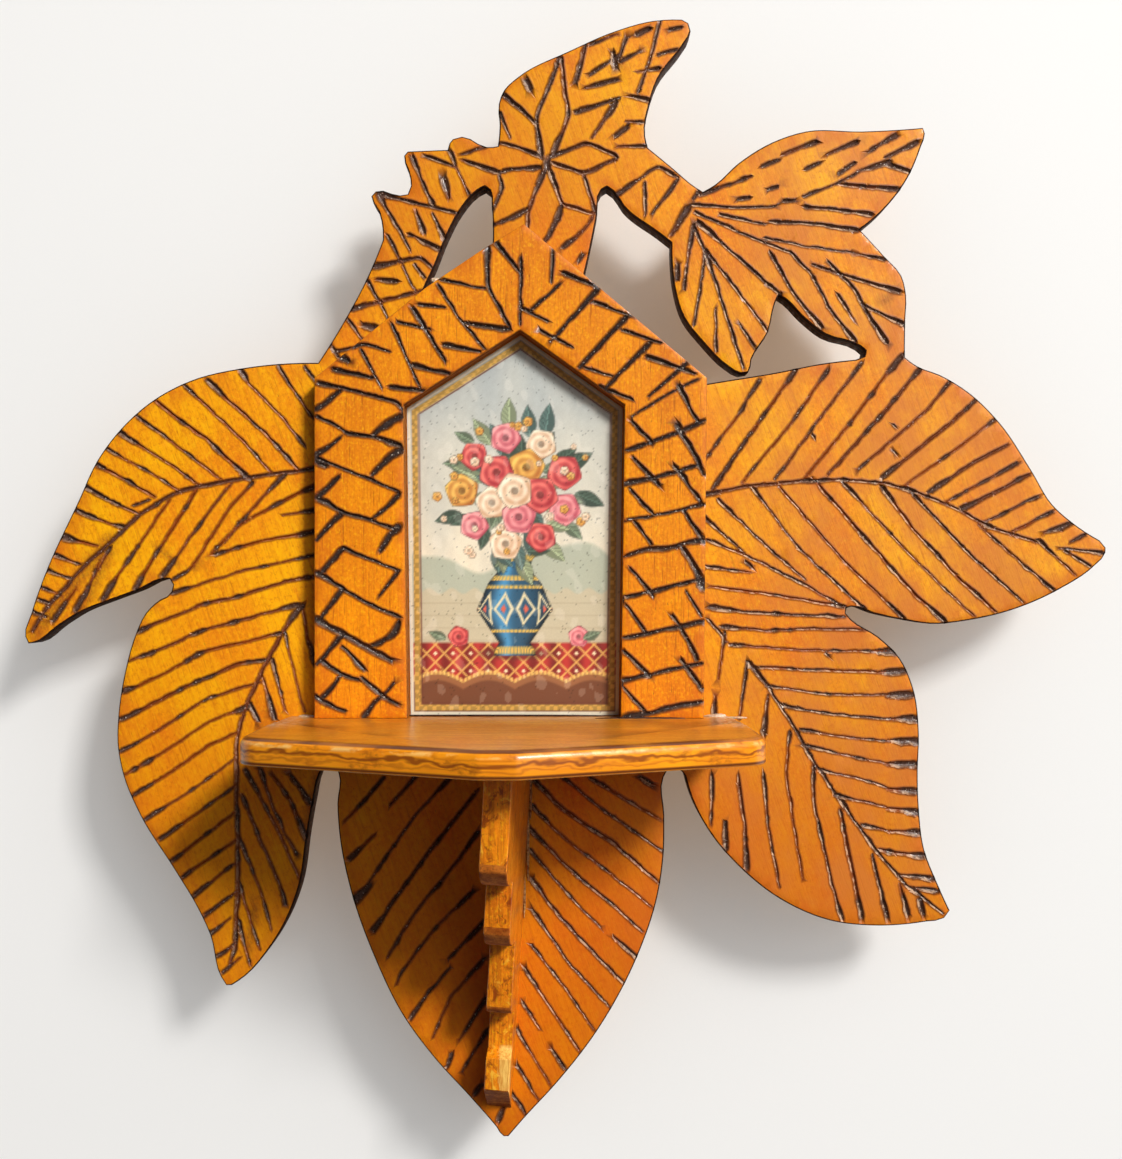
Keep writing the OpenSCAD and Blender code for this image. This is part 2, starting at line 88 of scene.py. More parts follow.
# Burned lines, in millimetres as (x, z) on the face. Each starts at its broad end. The first
# value is half the line's width there.
FINE, PLAIN, BOLD, BLOB = 0.3, 0.43, 0.6, 0.85

UPPER_LEFT_LEAF = [
    # midrib
    (BOLD, (-47, -42), (-52.5, -43), (-56.3, -43.3), (-65, -44.5), (-70, -45.3), (-78, -46.8),
     (-82.5, -47.8), (-86.3, -49.8), (-93.3, -54.3), (-100.5, -61.3), (-105.5, -65.5),
     (-110, -70.8), (-115.5, -76.5), (-119.5, -83)),
    # veins above it
    (PLAIN, (-51.3, -16.8), (-48, -21.3)),
    (PLAIN, (-58, -16.5), (-55, -21.3), (-49.3, -29.5)),
    (BOLD, (-67.5, -17.5), (-65.5, -20.8), (-57, -29.5), (-51.3, -36.5)),
    (BOLD, (-75.8, -20), (-71.5, -24.3), (-62, -32.5), (-53, -42.5)),
    (PLAIN, (-81.5, -21.3), (-75.5, -27), (-66.3, -35.8), (-59.5, -43.5)),
    (BOLD, (-65, -45), (-71.3, -39.3), (-75, -35.5), (-83.8, -29.3), (-88.8, -25)),
    (PLAIN, (-93.5, -29), (-90, -31.5), (-81.3, -38), (-72.5, -44.8)),
    (BOLD, (-98, -33), (-92.5, -36.5), (-83.8, -41.8), (-77.5, -46.8)),
    (PLAIN, (-101, -37), (-97.8, -39), (-88.8, -43.8), (-83, -47.8)),
    (BOLD, (-103.8, -41), (-98, -44), (-88.8, -49.3)),
    (FINE, (-94.3, -51.5), (-90, -50)),
    (BOLD, (-107, -46.3), (-100, -50.3), (-92.5, -53.8)),
    (BOLD, (-108.5, -52.5), (-102.5, -55.3), (-97, -56.8)),
    (BLOB, (-112, -59.3), (-107.5, -60.5), (-103, -61.5)),
    (PLAIN, (-114.3, -63.8), (-107.5, -66.3)),
    (PLAIN, (-116.3, -67.5), (-109.3, -70)),
    (PLAIN, (-117.5, -71.8), (-112, -74)),
    (PLAIN, (-118, -75), (-115, -76)),
    (PLAIN, (-119.8, -78), (-116.3, -79.3)),
    # veins below it
    (PLAIN, (-56.3, -43.5), (-63, -50.5), (-70, -59.3)),
    (PLAIN, (-84.5, -70), (-80, -67.5), (-75, -60), (-70.5, -52.5), (-64.3, -45.8)),
    (BOLD, (-87, -69.3), (-81.3, -61.3), (-75.5, -53.3), (-69.5, -45.8)),
    (BOLD, (-93.8, -72.5), (-88.8, -63.8), (-83, -55), (-78.3, -47.5)),
    (BOLD, (-101.8, -75), (-97, -67.5), (-90.5, -58), (-85, -50)),
    (BOLD, (-108.8, -78), (-103.8, -68.8), (-100, -62)),
    (PLAIN, (-106.3, -74.5), (-102.5, -65)),
    (BOLD, (-114.5, -80.5), (-108.8, -72.5)),
    # boundary with the leaf below
    (BOLD, (-47, -46), (-55, -49.3), (-62, -53.3), (-67.5, -56.3), (-74.5, -63.3)),
    (PLAIN, (-47, -52.3), (-56.8, -54)),
    (BOLD, (-47, -57.8), (-56.3, -59.3), (-63.8, -60.8), (-73.8, -63.8)),
    (PLAIN, (-67, -55), (-71.3, -60.8)),
]

LOWER_LEFT_LEAF = [
    # midrib
    (BOLD, (-51.8, -76.3), (-54.3, -78.8), (-56.8, -83.3), (-59.5, -88), (-62, -93),
     (-65.8, -101.3), (-67.5, -106.3), (-68.5, -112.5), (-68.3, -125), (-68, -135), (-68, -145),
     (-68.8, -162.5), (-70, -166.3)),
    # veins to its left
    (PLAIN, (-84.5, -73.5), (-67.5, -68), (-47, -63.5)),
    (BOLD, (-93, -83), (-86.3, -80), (-76.3, -76), (-68.8, -74.5), (-56.3, -70.5), (-47, -69)),
    (BOLD, (-53, -76.3), (-65, -79.5), (-77.5, -83), (-87.5, -87.5), (-95.5, -90.5)),
    (BOLD, (-96.8, -98), (-91.3, -96), (-76.3, -88), (-57.5, -83.5)),
    (BOLD, (-97.5, -105), (-92, -102.5), (-80, -96.3), (-67.5, -91), (-60.5, -90)),
    (PLAIN, (-97.5, -113), (-87.5, -107.5), (-76.3, -100), (-62, -95.5)),
    (BOLD, (-65.5, -101.8), (-75, -105.5), (-86.3, -113), (-96.5, -118.8)),
    (PLAIN, (-94.5, -124), (-85, -118.3), (-75, -111.3), (-68.3, -108.3)),
    (PLAIN, (-91.3, -130), (-81.3, -123.8), (-68.3, -114.5)),
    (PLAIN, (-87.5, -135), (-78.8, -128.8), (-68.3, -121.3)),
    (PLAIN, (-84.5, -140.5), (-75, -133), (-68.3, -128)),
    (PLAIN, (-82, -144.5), (-68.3, -135)),
    (PLAIN, (-79.5, -149.5), (-68.3, -140.5)),
    (PLAIN, (-76.8, -154.3), (-68.3, -148)),
    (PLAIN, (-75, -158.8), (-70, -154.5)),
    (PLAIN, (-73.3, -164.3), (-68.5, -161.3)),
    (PLAIN, (-72, -168.3), (-67.5, -164.5)),
    # veins to its right
    (BOLD, (-48.5, -91.5), (-50.5, -85), (-51.8, -77)),
    (FINE, (-56.3, -83.3), (-53, -97.5), (-51.3, -103)),
    (PLAIN, (-59.5, -90), (-56.3, -102.5)),
    (BOLD, (-58.8, -105), (-62, -93.8)),
    (BOLD, (-63, -105.5), (-65, -101.3)),
    (PLAIN, (-66.3, -117.5), (-62, -125), (-56.3, -136.3), (-52.5, -145)),
    (BOLD, (-56.3, -151.3), (-57.5, -146.3), (-62.5, -135), (-67, -123.8)),
    (PLAIN, (-67.5, -135), (-62.5, -147.5), (-59.5, -157.5)),
    (PLAIN, (-68, -145), (-64.5, -156.3), (-62.5, -162.5)),
    (PLAIN, (-68, -155), (-65, -166.3)),
    (PLAIN, (-62.5, -117.5), (-58, -130), (-53.3, -138.8)),
    (BOLD, (-50.8, -135), (-55, -125), (-59.5, -118.8)),
    (BOLD, (-49.5, -126.3), (-55, -118.8)),
]

MIDDLE_LEAF = [
    # veins to the left of the bracket
    (PLAIN, (-31.3, -119.5), (-37.5, -126.3), (-41.3, -130.5)),
    (PLAIN, (-23, -118.8), (-30, -126.3)),
    (BOLD, (-40.3, -140), (-33.8, -133.8)),
    (PLAIN, (-15, -119.5), (-24.5, -130), (-34.5, -144.5)),
    (BOLD, (-34.3, -158), (-28.8, -150), (-20.8, -138.8), (-13.8, -130), (-8, -122.5)),
    (BLOB, (-39.5, -151.3), (-35, -146.3)),
    (PLAIN, (-8, -133), (-13.8, -141.3), (-20.5, -149.3), (-26.3, -157), (-30.5, -164.5)),
    (PLAIN, (-9.3, -148), (-19.5, -158), (-27, -168), (-28.3, -171.3)),
    (PLAIN, (-6.5, -155.5), (-15.5, -165)),
    (PLAIN, (-25, -180), (-20.5, -173.3), (-15, -167)),
    (PLAIN, (-6.5, -165), (-15, -174.5), (-19.3, -184.5)),
    (PLAIN, (-6, -174.5), (-12.5, -185)),
    (PLAIN, (-15.8, -192), (-14.5, -188.8)),
    (PLAIN, (-5.5, -182.5), (-12, -193)),
    (PLAIN, (-8.8, -198.8), (-7, -196.3)),
    # veins to its right
    (BOLD, (35.5, -121.3), (32.5, -119.5)),
    (PLAIN, (20, -119.5), (28.8, -125), (38.3, -130.3)),
    (PLAIN, (12.5, -118.8), (23.8, -128), (38.3, -138)),
    (BOLD, (5.5, -119.5), (12.5, -127), (26.3, -136.3), (37.8, -146.3)),
    (PLAIN, (5.3, -126.3), (12.5, -133.8), (23.8, -142.5), (36, -152.3)),
    (PLAIN, (5, -132.5), (16.3, -143.8), (28, -153.3), (33, -158)),
    (PLAIN, (5, -137.5), (15, -149.3), (22.5, -156.8)),
    (BOLD, (5.5, -145), (12, -153.8), (23.8, -166.3), (28.8, -171.3)),
    (BOLD, (32, -165), (25.8, -159.3)),
    (PLAIN, (5.5, -152.5), (15, -166.3), (25.5, -177.5)),
    (PLAIN, (5.5, -161.3), (15, -173.8), (21.3, -183)),
    (PLAIN, (3.8, -167.5), (12.5, -180.5), (17.5, -188.3)),
    (PLAIN, (3.3, -175.8), (7.5, -182.5)),
    (PLAIN, (13.8, -192.5), (10.5, -187.5)),
    (PLAIN, (1.8, -182.5), (10.5, -197)),
    (PLAIN, (1.8, -191.3), (7.5, -200.8)),
    (PLAIN, (0.3, -198), (4.3, -204.3)),
    (BOLD, (-3, -205.5), (-1.3, -201.3)),
]

LOWER_RIGHT_LEAF = [
    # midrib
    (FINE, (49.5, -80), (55, -86.3)),
    (BOLD, (59.5, -90.5), (63.8, -95.8), (70.8, -106.5), (75.5, -115), (84.5, -128),
     (91.3, -137.5), (98.8, -146.3), (108.3, -153.5)),
    # veins to its right, and the dark ends that some have at the edge
    (BOLD, (53, -81.8), (65, -82.8), (72.5, -82.3), (89.5, -82.5)),
    (PLAIN, (55, -86.3), (72, -87.6), (94, -88)),
    (PLAIN, (60, -91.8), (75, -92.6), (94, -93.2)),
    (PLAIN, (64, -96.5), (80, -98.8), (95, -98.8)),
    (PLAIN, (68, -101.5), (80, -103.6), (95, -105)),
    (PLAIN, (72.5, -107.5), (84, -109.4), (95, -110.4)),
    (PLAIN, (73, -111.3), (87.5, -114.8), (95, -116)),
    (PLAIN, (77.5, -117.5), (90, -120.5), (95, -122.5)),
    (PLAIN, (81.3, -124), (93.8, -126.8)),
    (PLAIN, (88, -131.5), (95, -133)),
    (BLOB, (97, -88), (91.5, -88)),
    (BLOB, (99.3, -93), (93, -93.2)),
    (BLOB, (100.5, -98.8), (94.5, -98.9)),
    (BLOB, (101.5, -104.8), (94.5, -104.9)),
    (BLOB, (102, -110.5), (94.5, -110.4)),
    (BLOB, (101.8, -116.3), (94.5, -116.2)),
    (BLOB, (101.8, -123), (94.5, -122.6)),
    (BLOB, (102, -128.3), (94.5, -127.3)),
    (BLOB, (102.5, -133.3), (94.5, -133)),
    (BLOB, (103.8, -139.3), (96, -138.4), (92.5, -137.5)),
    (BOLD, (105.8, -144.8), (96.8, -143.8)),
    (BOLD, (107, -148), (98.8, -146.8)),
    # boundary with the leaf above
    (PLAIN, (49.3, -66.8), (60, -68.3)),
    (PLAIN, (58.8, -65.5), (60.5, -66.8)),
    (PLAIN, (83.8, -76.8), (63.8, -73.5), (50, -71.8)),
    (BOLD, (50, -77), (60, -78.3), (83.8, -79.3)),
    (PLAIN, (49.3, -60), (61.3, -65), (75, -72), (83.8, -77)),
    # veins to its left
    (PLAIN, (53.8, -83.3), (52, -95)),
    (BOLD, (51, -104.5), (51.3, -99.3)),
    (PLAIN, (59.5, -90.5), (57.3, -105)),
    (BOLD, (63.5, -108.8), (64.5, -98.8)),
    (PLAIN, (70, -108), (69, -118.8), (71.8, -136.3), (73.3, -145)),
    (BOLD, (83, -155), (80.5, -146.3), (76, -126.3), (75.8, -116.3)),
    (BOLD, (88, -154.5), (85.8, -143.8), (82.5, -127.5)),
    (BOLD, (94.3, -154.5), (90.5, -138.8)),
    (BOLD, (99.5, -153.8), (97.5, -146.3)),
    (BOLD, (103.3, -153.8), (102.5, -150)),
    (PLAIN, (50.5, -118.8), (50.3, -131.3)),
    (BOLD, (59.3, -142.5), (58.8, -132.5), (57, -118.8)),
    (PLAIN, (63.5, -118.8), (64.5, -131.3), (67.5, -147)),
    (BOLD, (54, -137.5), (53.8, -130.5)),
]

UPPER_RIGHT_LEAF = [
    # midrib
    (BOLD, (46, -49.3), (58.8, -46.8), (72.5, -45.5), (82.5, -45), (93, -45.8), (102, -48.3),
     (111.3, -52), (120, -57), (132.5, -60.8)),
    (PLAIN, (148.5, -63.3), (137.5, -62.3)),
    # veins above it
    (PLAIN, (62.5, -20), (57, -28.8), (48, -41)),
    (BOLD, (71.8, -17), (66.3, -25), (60, -33.8), (50.5, -47.5)),
    (PLAIN, (79.5, -17.5), (70, -31.3), (58, -45.8)),
    (PLAIN, (88, -15.8), (76.3, -31.3), (66.3, -45)),
    (BOLD, (98.3, -13.8), (95, -17.5), (83.8, -32.5), (73, -45.5)),
    (BOLD, (103, -16.8), (92.5, -29.3), (79.5, -43.8)),
    (PLAIN, (110.5, -20), (103.8, -28), (87, -42.5)),
    (BOLD, (93, -44.5), (111.3, -30), (117, -24.5)),
    (PLAIN, (121.8, -29.5), (116.3, -33.8), (98.8, -46.5)),
    (BOLD, (104.5, -48.3), (116.3, -40.5), (124.5, -36.3)),
    (PLAIN, (127, -40.8), (108.8, -50.8)),
    (BOLD, (113, -52.5), (125, -46.3), (130, -43.8)),
    (PLAIN, (132, -49.3), (118.8, -55.5)),
    (PLAIN, (135.8, -53), (125, -58.3)),
    (BOLD, (140.5, -56), (133.8, -58.3)),
    (PLAIN, (143.8, -58.8), (140, -60.8)),
    # veins below it
    (PLAIN, (48, -54), (58.8, -63.3)),
    (PLAIN, (52, -50), (65, -62.5), (73.8, -70)),
    (PLAIN, (60.5, -46.8), (72.5, -62.5), (88.8, -77.5)),
    (PLAIN, (98.8, -80), (82.5, -64.3), (67, -46.3)),
    (BOLD, (108.8, -80.5), (101.3, -73.8), (91.3, -62.5), (75.5, -44.5)),
    (PLAIN, (83, -45.5), (98.8, -62.5), (116.3, -79.5)),
    (BOLD, (93, -46.8), (100, -56.3), (112.5, -70), (122, -78.5)),
    (PLAIN, (100.5, -48.3), (115, -63.8), (128.8, -76)),
    (PLAIN, (136.3, -73), (127.5, -65.5), (117, -56.3)),
    (PLAIN, (132, -60), (141.3, -68.8)),
    (PLAIN, (145, -66.8), (138.8, -62.8)),
]

FLOWER_AND_TOP_LEAF = [
    # the flower's six petals
    (BOLD, (7.8, 36.3), (6.5, 45.5), (7.8, 48.8), (11.5, 57.5), (12, 60.5)),
    (BOLD, (10.5, 35.8), (14.8, 46.3), (13.8, 51.3), (12.8, 60.5)),
    (BOLD, (10, 35.8), (19.5, 39.3), (27.5, 35.5), (18.3, 31.5), (10.8, 34.3)),
    (BOLD, (10, 32), (13, 23.8), (21.5, 21.3), (18.3, 31.3)),
    (BOLD, (8.3, 32), (4.5, 22), (4.3, 17.5)),
    (BOLD, (13, 23.5), (9.5, 15.5), (4.5, 10.5)),
    (BOLD, (7.5, 33), (0, 32.5), (-3, 31.8), (-1.8, 28), (-4.8, 21.3)),
    (BOLD, (4.5, 22.5), (-1.8, 19.5), (-4.8, 18.5)),
    (BOLD, (7.5, 35.8), (0, 38.8), (-3, 39.3), (-10, 37), (-12, 36.3)),
    (BOLD, (-3, 31.8), (-11.8, 34.8)),
    (BLOB, (9.2, 34.6), (9.2, 32.8)),
    # neck
    (BOLD, (13, 13), (17.5, 16.3), (21.3, 21.3)),
    (PLAIN, (17, 9.5), (18.3, 11.3)),
    # top leaf
    (BOLD, (-2.5, 52), (5, 45.5), (6.5, 43.8)),
    (PLAIN, (-2.5, 46.8), (0, 40.5)),
    (BLOB, (5, 52.5), (3.8, 55)),
    (BOLD, (16.3, 54.5), (18, 60), (18.8, 63.8)),
    (PLAIN, (20, 63.8), (26.8, 66.3)),
    (PLAIN, (20, 56.3), (27.5, 61.3)),
    (BLOB, (26.3, 58), (25.5, 62)),
    (PLAIN, (27.5, 59.5), (32.5, 62)),
    (PLAIN, (29, 65.5), (26.8, 58.8)),
    (BOLD, (27, 55), (18.8, 53)),
    (BOLD, (16.3, 46.8), (23.8, 49.3), (27.5, 50.5)),
    (BOLD, (26.5, 49.5), (20.5, 40.5)),
    (BOLD, (35, 67.8), (31.5, 66.3)),
    (PLAIN, (37.5, 69.5), (35, 60), (32, 52)),
    (PLAIN, (42, 62.5), (37, 61.3)),
    (PLAIN, (37.5, 58), (31.8, 56.8)),
    (PLAIN, (43, 68), (40, 67.5)),
    (BOLD, (35, 49.8), (30, 50.8)),
    (PLAIN, (34.3, 44.3), (28.8, 44.5)),
    (BOLD, (29.5, 43.3), (26.3, 40.8)),
    (PLAIN, (34.3, 38.3), (27, 38.3)),
    # short right stem
    (BOLD, (26.8, 26.3), (36.8, 33.5), (42, 30.5)),
    (PLAIN, (33.8, 29.3), (33.8, 21.3)),
    (PLAIN, (42, 30), (35.5, 21.3)),
    (BLOB, (44.5, 23), (40.3, 16.3)),
    (PLAIN, (47.5, 27.5), (45.8, 25)),
]

THREE_LOBED_LEAF = [
    # top lobe
    (PLAIN, (45.5, 23.8), (56.3, 23), (66.3, 23.3)),
    (PLAIN, (57, 25), (60, 25.5)),
    (BOLD, (47.5, 26.3), (60.5, 30.8)),
    (PLAIN, (63, 33.3), (67.5, 35)),
    (BOLD, (76.8, 39.5), (68, 36.3)),
    (BOLD, (87, 39.5), (79.3, 36.3)),
    (BOLD, (96.8, 41.3), (89.5, 37)),
    (BOLD, (102, 39.5), (93.8, 35.5)),
    (PLAIN, (73.8, 32.5), (77.5, 34.3)),
    (PLAIN, (82, 31.3), (86.3, 34.3)),
    (BOLD, (95, 34.5), (86.8, 32)),
    (BOLD, (94.3, 33.8), (100, 32)),
    (PLAIN, (64.5, 27.5), (67, 28.3)),
    (PLAIN, (68.3, 24.5), (71.3, 24.8)),
    (PLAIN, (73.3, 25.8), (81.3, 28.8), (87.5, 32)),
    (BOLD, (97.5, 27.5), (83, 28.8)),
    (BOLD, (90.5, 21.3), (81.3, 22.5), (73.8, 23.3)),
    # middle lobe
    (PLAIN, (52.5, 21.3), (63.8, 18.8)),
    (BOLD, (87, 17.3), (77.5, 18.8), (65, 19.5)),
    (PLAIN, (46.3, 21.8), (57.5, 16.8), (70, 11.8)),
    (PLAIN, (63.8, 15.5), (73.8, 13.3), (85, 11.8)),
    (PLAIN, (93.8, 10), (87.5, 11.3)),
    (BOLD, (86.3, -10.5), (80, -2.5), (75.5, 6.3), (70, 11.8)),
    (BOLD, (97.5, 2), (82.5, 6.3), (75.5, 8.8)),
    (BOLD, (94.3, -10.8), (90, -4.5), (86.3, 2.5), (79.5, 9.5)),
    (BOLD, (98.8, -6.3), (88, -1.3)),
    (PLAIN, (82, 1.3), (86.3, -5.5)),
    (BOLD, (46.8, 19.5), (56.3, 11.3), (64.5, 3.8), (67.5, 1.3)),
    (BOLD, (78, -7), (74.5, -3), (70.5, 2), (65, 12)),
    # lower lobe
    (PLAIN, (45.8, 18.8), (44.5, 10.8)),
    (PLAIN, (46.3, 17.5), (48.8, 12), (47.5, 2.5), (46, -6.3)),
    (BOLD, (48.8, 12), (52, 2.5), (58.3, -17)),
    (PLAIN, (48.8, 12.5), (57, 2), (64.5, -8)),
    (BOLD, (41.8, 5), (42, 8.8)),
    (PLAIN, (51.5, -13), (51.5, -2)),
    (PLAIN, (61.8, -13), (57.5, -6.3)),
    (PLAIN, (43.5, 2.5), (45, 15)),
]

TOOTHED_STEM = [
    (BOLD, (-32.5, 26.3), (-20, 23.3), (-12.5, 21.3)),
    (BOLD, (-33, 26.3), (-27.5, 17), (-25, 12.5)),
    (BOLD, (-24.5, 35.8), (-19.5, 23.8)),
    (PLAIN, (-21.3, 36), (-13.8, 33.3)),
    (PLAIN, (-15.3, 37.5), (-10, 25.8)),
    (BLOB, (-16.8, 30.5), (-15.3, 25.5)),
    (BOLD, (-21.5, 16.8), (-23.5, 21.8)),
    (BOLD, (-16.3, 15), (-19.5, 21.5)),
    (BOLD, (-17.5, 12.5), (-25.3, 16.3)),
    (PLAIN, (-30.5, 16), (-24.5, 3.8), (-23.3, 1.8)),
    (BOLD, (-33.8, 8), (-22.5, 10.8), (-19, 7.5)),
    (PLAIN, (-23.8, 8.8), (-21.3, 5.5)),
    (BOLD, (-28.3, 4.5), (-33.3, 5)),
    (BOLD, (-40, -2.5), (-21.3, 2.5)),
    (PLAIN, (-35.8, 5), (-29.5, -6.3)),
    (PLAIN, (-40.8, -4.5), (-36, -11.3)),
    (BLOB, (-36.8, -6.3), (-33, -7.5)),
    (PLAIN, (-44, -13), (-39, -12)),
    (PLAIN, (-44.8, -11.3), (-42.5, -15)),
]

FRAME_LEFT_SLOPE = [
    (PLAIN, (-22.3, -2.5), (-15.7, -3.3)),
    (PLAIN, (-27.5, -6.7), (-19.4, -8.7)),
    (PLAIN, (-17.4, 2.4), (-12, -6.2), (-5.4, -14.1)),
    (BOLD, (-23.8, -3.3), (-15.7, -16.5)),
    (PLAIN, (-16.7, 3.6), (-5.9, 1.4)),
    (BOLD, (-5.4, 12.2), (-5.4, 2.4), (0.2, -8.2)),
    (BOLD, (-3.9, 13.4), (3.2, 4.8)),
    (PLAIN, (2.9, 9), (2.7, -7.4)),
    (BOLD, (0.2, -8.7), (-11.3, -7)),
    (BOLD, (-16.2, -12.4), (-7.1, -14.1)),
    (BOLD, (-23.6, -17.5), (-14, -19.7)),
    (BOLD, (-29.2, -22.7), (-19.9, -23.9)),
    (PLAIN, (-28.7, -7.4), (-25.5, -14.8), (-21.8, -22.9)),
    (PLAIN, (-39.5, -13.3), (-35.3, -12.1), (-29.2, -14.1)),
    (BLOB, (-39.5, -16.5), (-41, -15.5)),
    (PLAIN, (-36.3, -13.6), (-31.2, -22.9)),
    (BOLD, (-43.2, -18.5), (-33.6, -20.5)),
    (PLAIN, (2.7, -3.3), (9.6, -6.7)),
    (PLAIN, (4.7, -4.5), (12.5, 2.4)),
    (PLAIN, (10.8, 10.9), (10.3, 2.9)),
]

FRAME_RIGHT_SLOPE = [
    # across the slope
    (BOLD, (21.8, 1.4), (10.3, -11.6)),
    (BOLD, (28.7, -5.5), (17.2, -18)),
    (BOLD, (34.6, -11.9), (24, -22.7)),
    (PLAIN, (43.7, -16.8), (34.3, -25.1)),
    # along it
    (BOLD, (13.2, 5.3), (22.3, 1.6)),
    (PLAIN, (20.6, -1.8), (30.9, -5.7)),
    (PLAIN, (27.7, -8.7), (37.3, -12.1)),
    (BOLD, (33.8, -15.3), (45.6, -19.5)),
    (PLAIN, (7.6, -8.9), (15.7, -13.1)),
    (PLAIN, (18.4, -17.8), (25.3, -20.2)),
    (BOLD, (22.3, -22.7), (30.4, -25.8)),
    (FINE, (46.4, -20.9), (41.9, -22.9), (35.8, -26.3), (30.2, -30)),
]

FRAME_LEFT_RAIL = [
    (BOLD, (-46.9, -21.9), (-40.2, -23.1), (-32.9, -25.1), (-27.2, -26.6), (-26, -29)),
    (BOLD, (-47.3, -28.3), (-44.4, -26.3), (-41.5, -23.6)),
    (BLOB, (-26.3, -30), (-29.2, -31.2), (-31.2, -32.7), (-33.1, -34.4)),
    (PLAIN, (-47.6, -29.8), (-43.9, -31.5), (-40.2, -33.7)),
    (BOLD, (-26.7, -37.1), (-31.7, -35.4), (-36, -34.7), (-40.2, -33.9)),
    (BOLD, (-47.6, -39.6), (-44.4, -37.6), (-41.5, -35.2)),
    (BLOB, (-26.5, -38.1), (-29.2, -39.8), (-31.2, -41.8), (-33.6, -44.2)),
    (PLAIN, (-47.6, -40.3), (-43.9, -41.5), (-39, -43.5), (-34.1, -45.5), (-27, -48.4)),
    (BOLD, (-47.3, -41.3), (-44.9, -42.3)),
    (BOLD, (-47.3, -50.1), (-44.4, -47.4), (-41.7, -44.7)),
    (BOLD, (-27, -48.9), (-29.2, -51.6), (-31.7, -53.6), (-33.4, -55)),
    (BOLD, (-47.3, -50.1), (-43.2, -52.1), (-41, -53.6), (-33.4, -55.5), (-27.7, -58)),
    (BOLD, (-41.5, -54.1), (-43.9, -56.5), (-47.3, -60.4)),
    (BLOB, (-27, -56.8), (-29.7, -59.7), (-31.7, -63.1)),
    (PLAIN, (-41, -62.2), (-37.8, -63.6), (-34.1, -65.1), (-27, -67.8)),
    (BOLD, (-41, -62.4), (-43.4, -65.3), (-46.4, -68.3)),
    (PLAIN, (-27, -67.8), (-28.7, -70), (-31.7, -73.9)),
    (BOLD, (-47.6, -68.3), (-45.1, -69.5), (-41, -72.2), (-33.6, -76.4), (-26.7, -79.3)),
    (BOLD, (-41, -72.5), (-43.2, -75.4), (-45.9, -79.1)),
    (BLOB, (-26.7, -80.3), (-28, -83), (-30.4, -85), (-33.4, -86.2)),
    (BLOB, (-47.6, -79.6), (-43.9, -81.8), (-40.2, -83.7), (-32.9, -87.9), (-28.7, -89.9)),
    (BOLD, (-41.2, -83.7), (-43.9, -87.2), (-47.3, -90.9)),
    (BOLD, (-35.6, -92.1), (-37, -90.6), (-39, -88.4), (-41, -86.4)),
    (BOLD, (-45.9, -90.1), (-42.7, -92.3), (-40.2, -93.8), (-37, -94.5)),
    (BOLD, (-46.4, -99.4), (-43.9, -97), (-41.5, -93.8)),
    (BOLD, (-36.1, -94), (-33.6, -96.5), (-30.9, -98.7), (-27.5, -100.7)),
    (BOLD, (-35.6, -103.9), (-33.6, -100.7), (-30.9, -98.2), (-28.2, -95.3)),
    (BOLD, (-47.6, -98.5), (-45.9, -99.9), (-43.2, -101.2), (-40.2, -102.4)),
]

FRAME_RIGHT_RAIL = [
    (BOLD, (41.5, -22.4), (43.4, -25.8), (44.9, -28.8), (46.4, -31.7)),
    (BOLD, (35.1, -36.6), (32.6, -33.9), (30.2, -31.2)),
    (BOLD, (48.1, -31), (44.4, -32.7), (41.5, -33.9), (35.8, -35.9), (28.5, -38.4)),
    (BLOB, (41.2, -32), (43.2, -35.7), (45.6, -39.3), (47.8, -44.2)),
    (BOLD, (36.8, -46.9), (35.1, -45), (32.6, -42.5), (30.4, -40.1)),
    (BOLD, (28.5, -46.5), (35.8, -45), (41.5, -43.5), (46.4, -41.8)),
    (BOLD, (40.5, -42), (42.4, -44.5), (44.9, -47.9), (47.3, -51.6)),
    (PLAIN, (35.3, -54.1), (34.6, -53.1), (32.1, -50.6), (29.7, -47.7)),
    (PLAIN, (47.6, -51.4), (41.9, -53.1), (35.8, -54.3), (28.5, -55.5)),
    (BOLD, (47.8, -60.7), (46.4, -58.2), (44.4, -55.8), (42.7, -52.8)),
    (PLAIN, (30.7, -55.8), (33.4, -59), (34.8, -61.4)),
    (BOLD, (48.1, -60.2), (44.4, -60.7), (40, -62.2), (34.1, -62.4), (28.2, -64.4)),
    (BLOB, (47.8, -72), (46.4, -68.3), (44.4, -65.1), (42.2, -61.7)),
    (PLAIN, (35.3, -74.2), (34.8, -72.9), (32.1, -70), (29.7, -67.1)),
    (BOLD, (47.8, -70.2), (41.9, -71.2), (35.8, -72.7), (32.1, -73.7), (27.5, -74.4)),
    (PLAIN, (33.4, -82.8), (30.2, -78.1), (27.7, -75.2)),
    (FINE, (47.3, -79.1), (45.6, -76.1), (43.4, -72.9)),
    (BOLD, (46.1, -89.6), (44.4, -85.9), (42.4, -82.3), (40, -78.8)),
    (BOLD, (47.8, -80.3), (41.9, -81.5), (35.8, -83), (27.7, -84.5)),
    (BOLD, (34.6, -94), (30.9, -90.1), (27.2, -86.7)),
    (BOLD, (27.2, -95), (35.8, -93.1), (41.9, -91.6), (47.3, -90.6)),
    (BOLD, (47.3, -97), (44.4, -92.6), (42.2, -89.6)),
    (PLAIN, (33.4, -102.4), (30.2, -98.9), (27.7, -96)),
    (BLOB, (28.5, -104), (35.8, -102.4), (41.9, -100.9), (47.3, -100.2)),
]

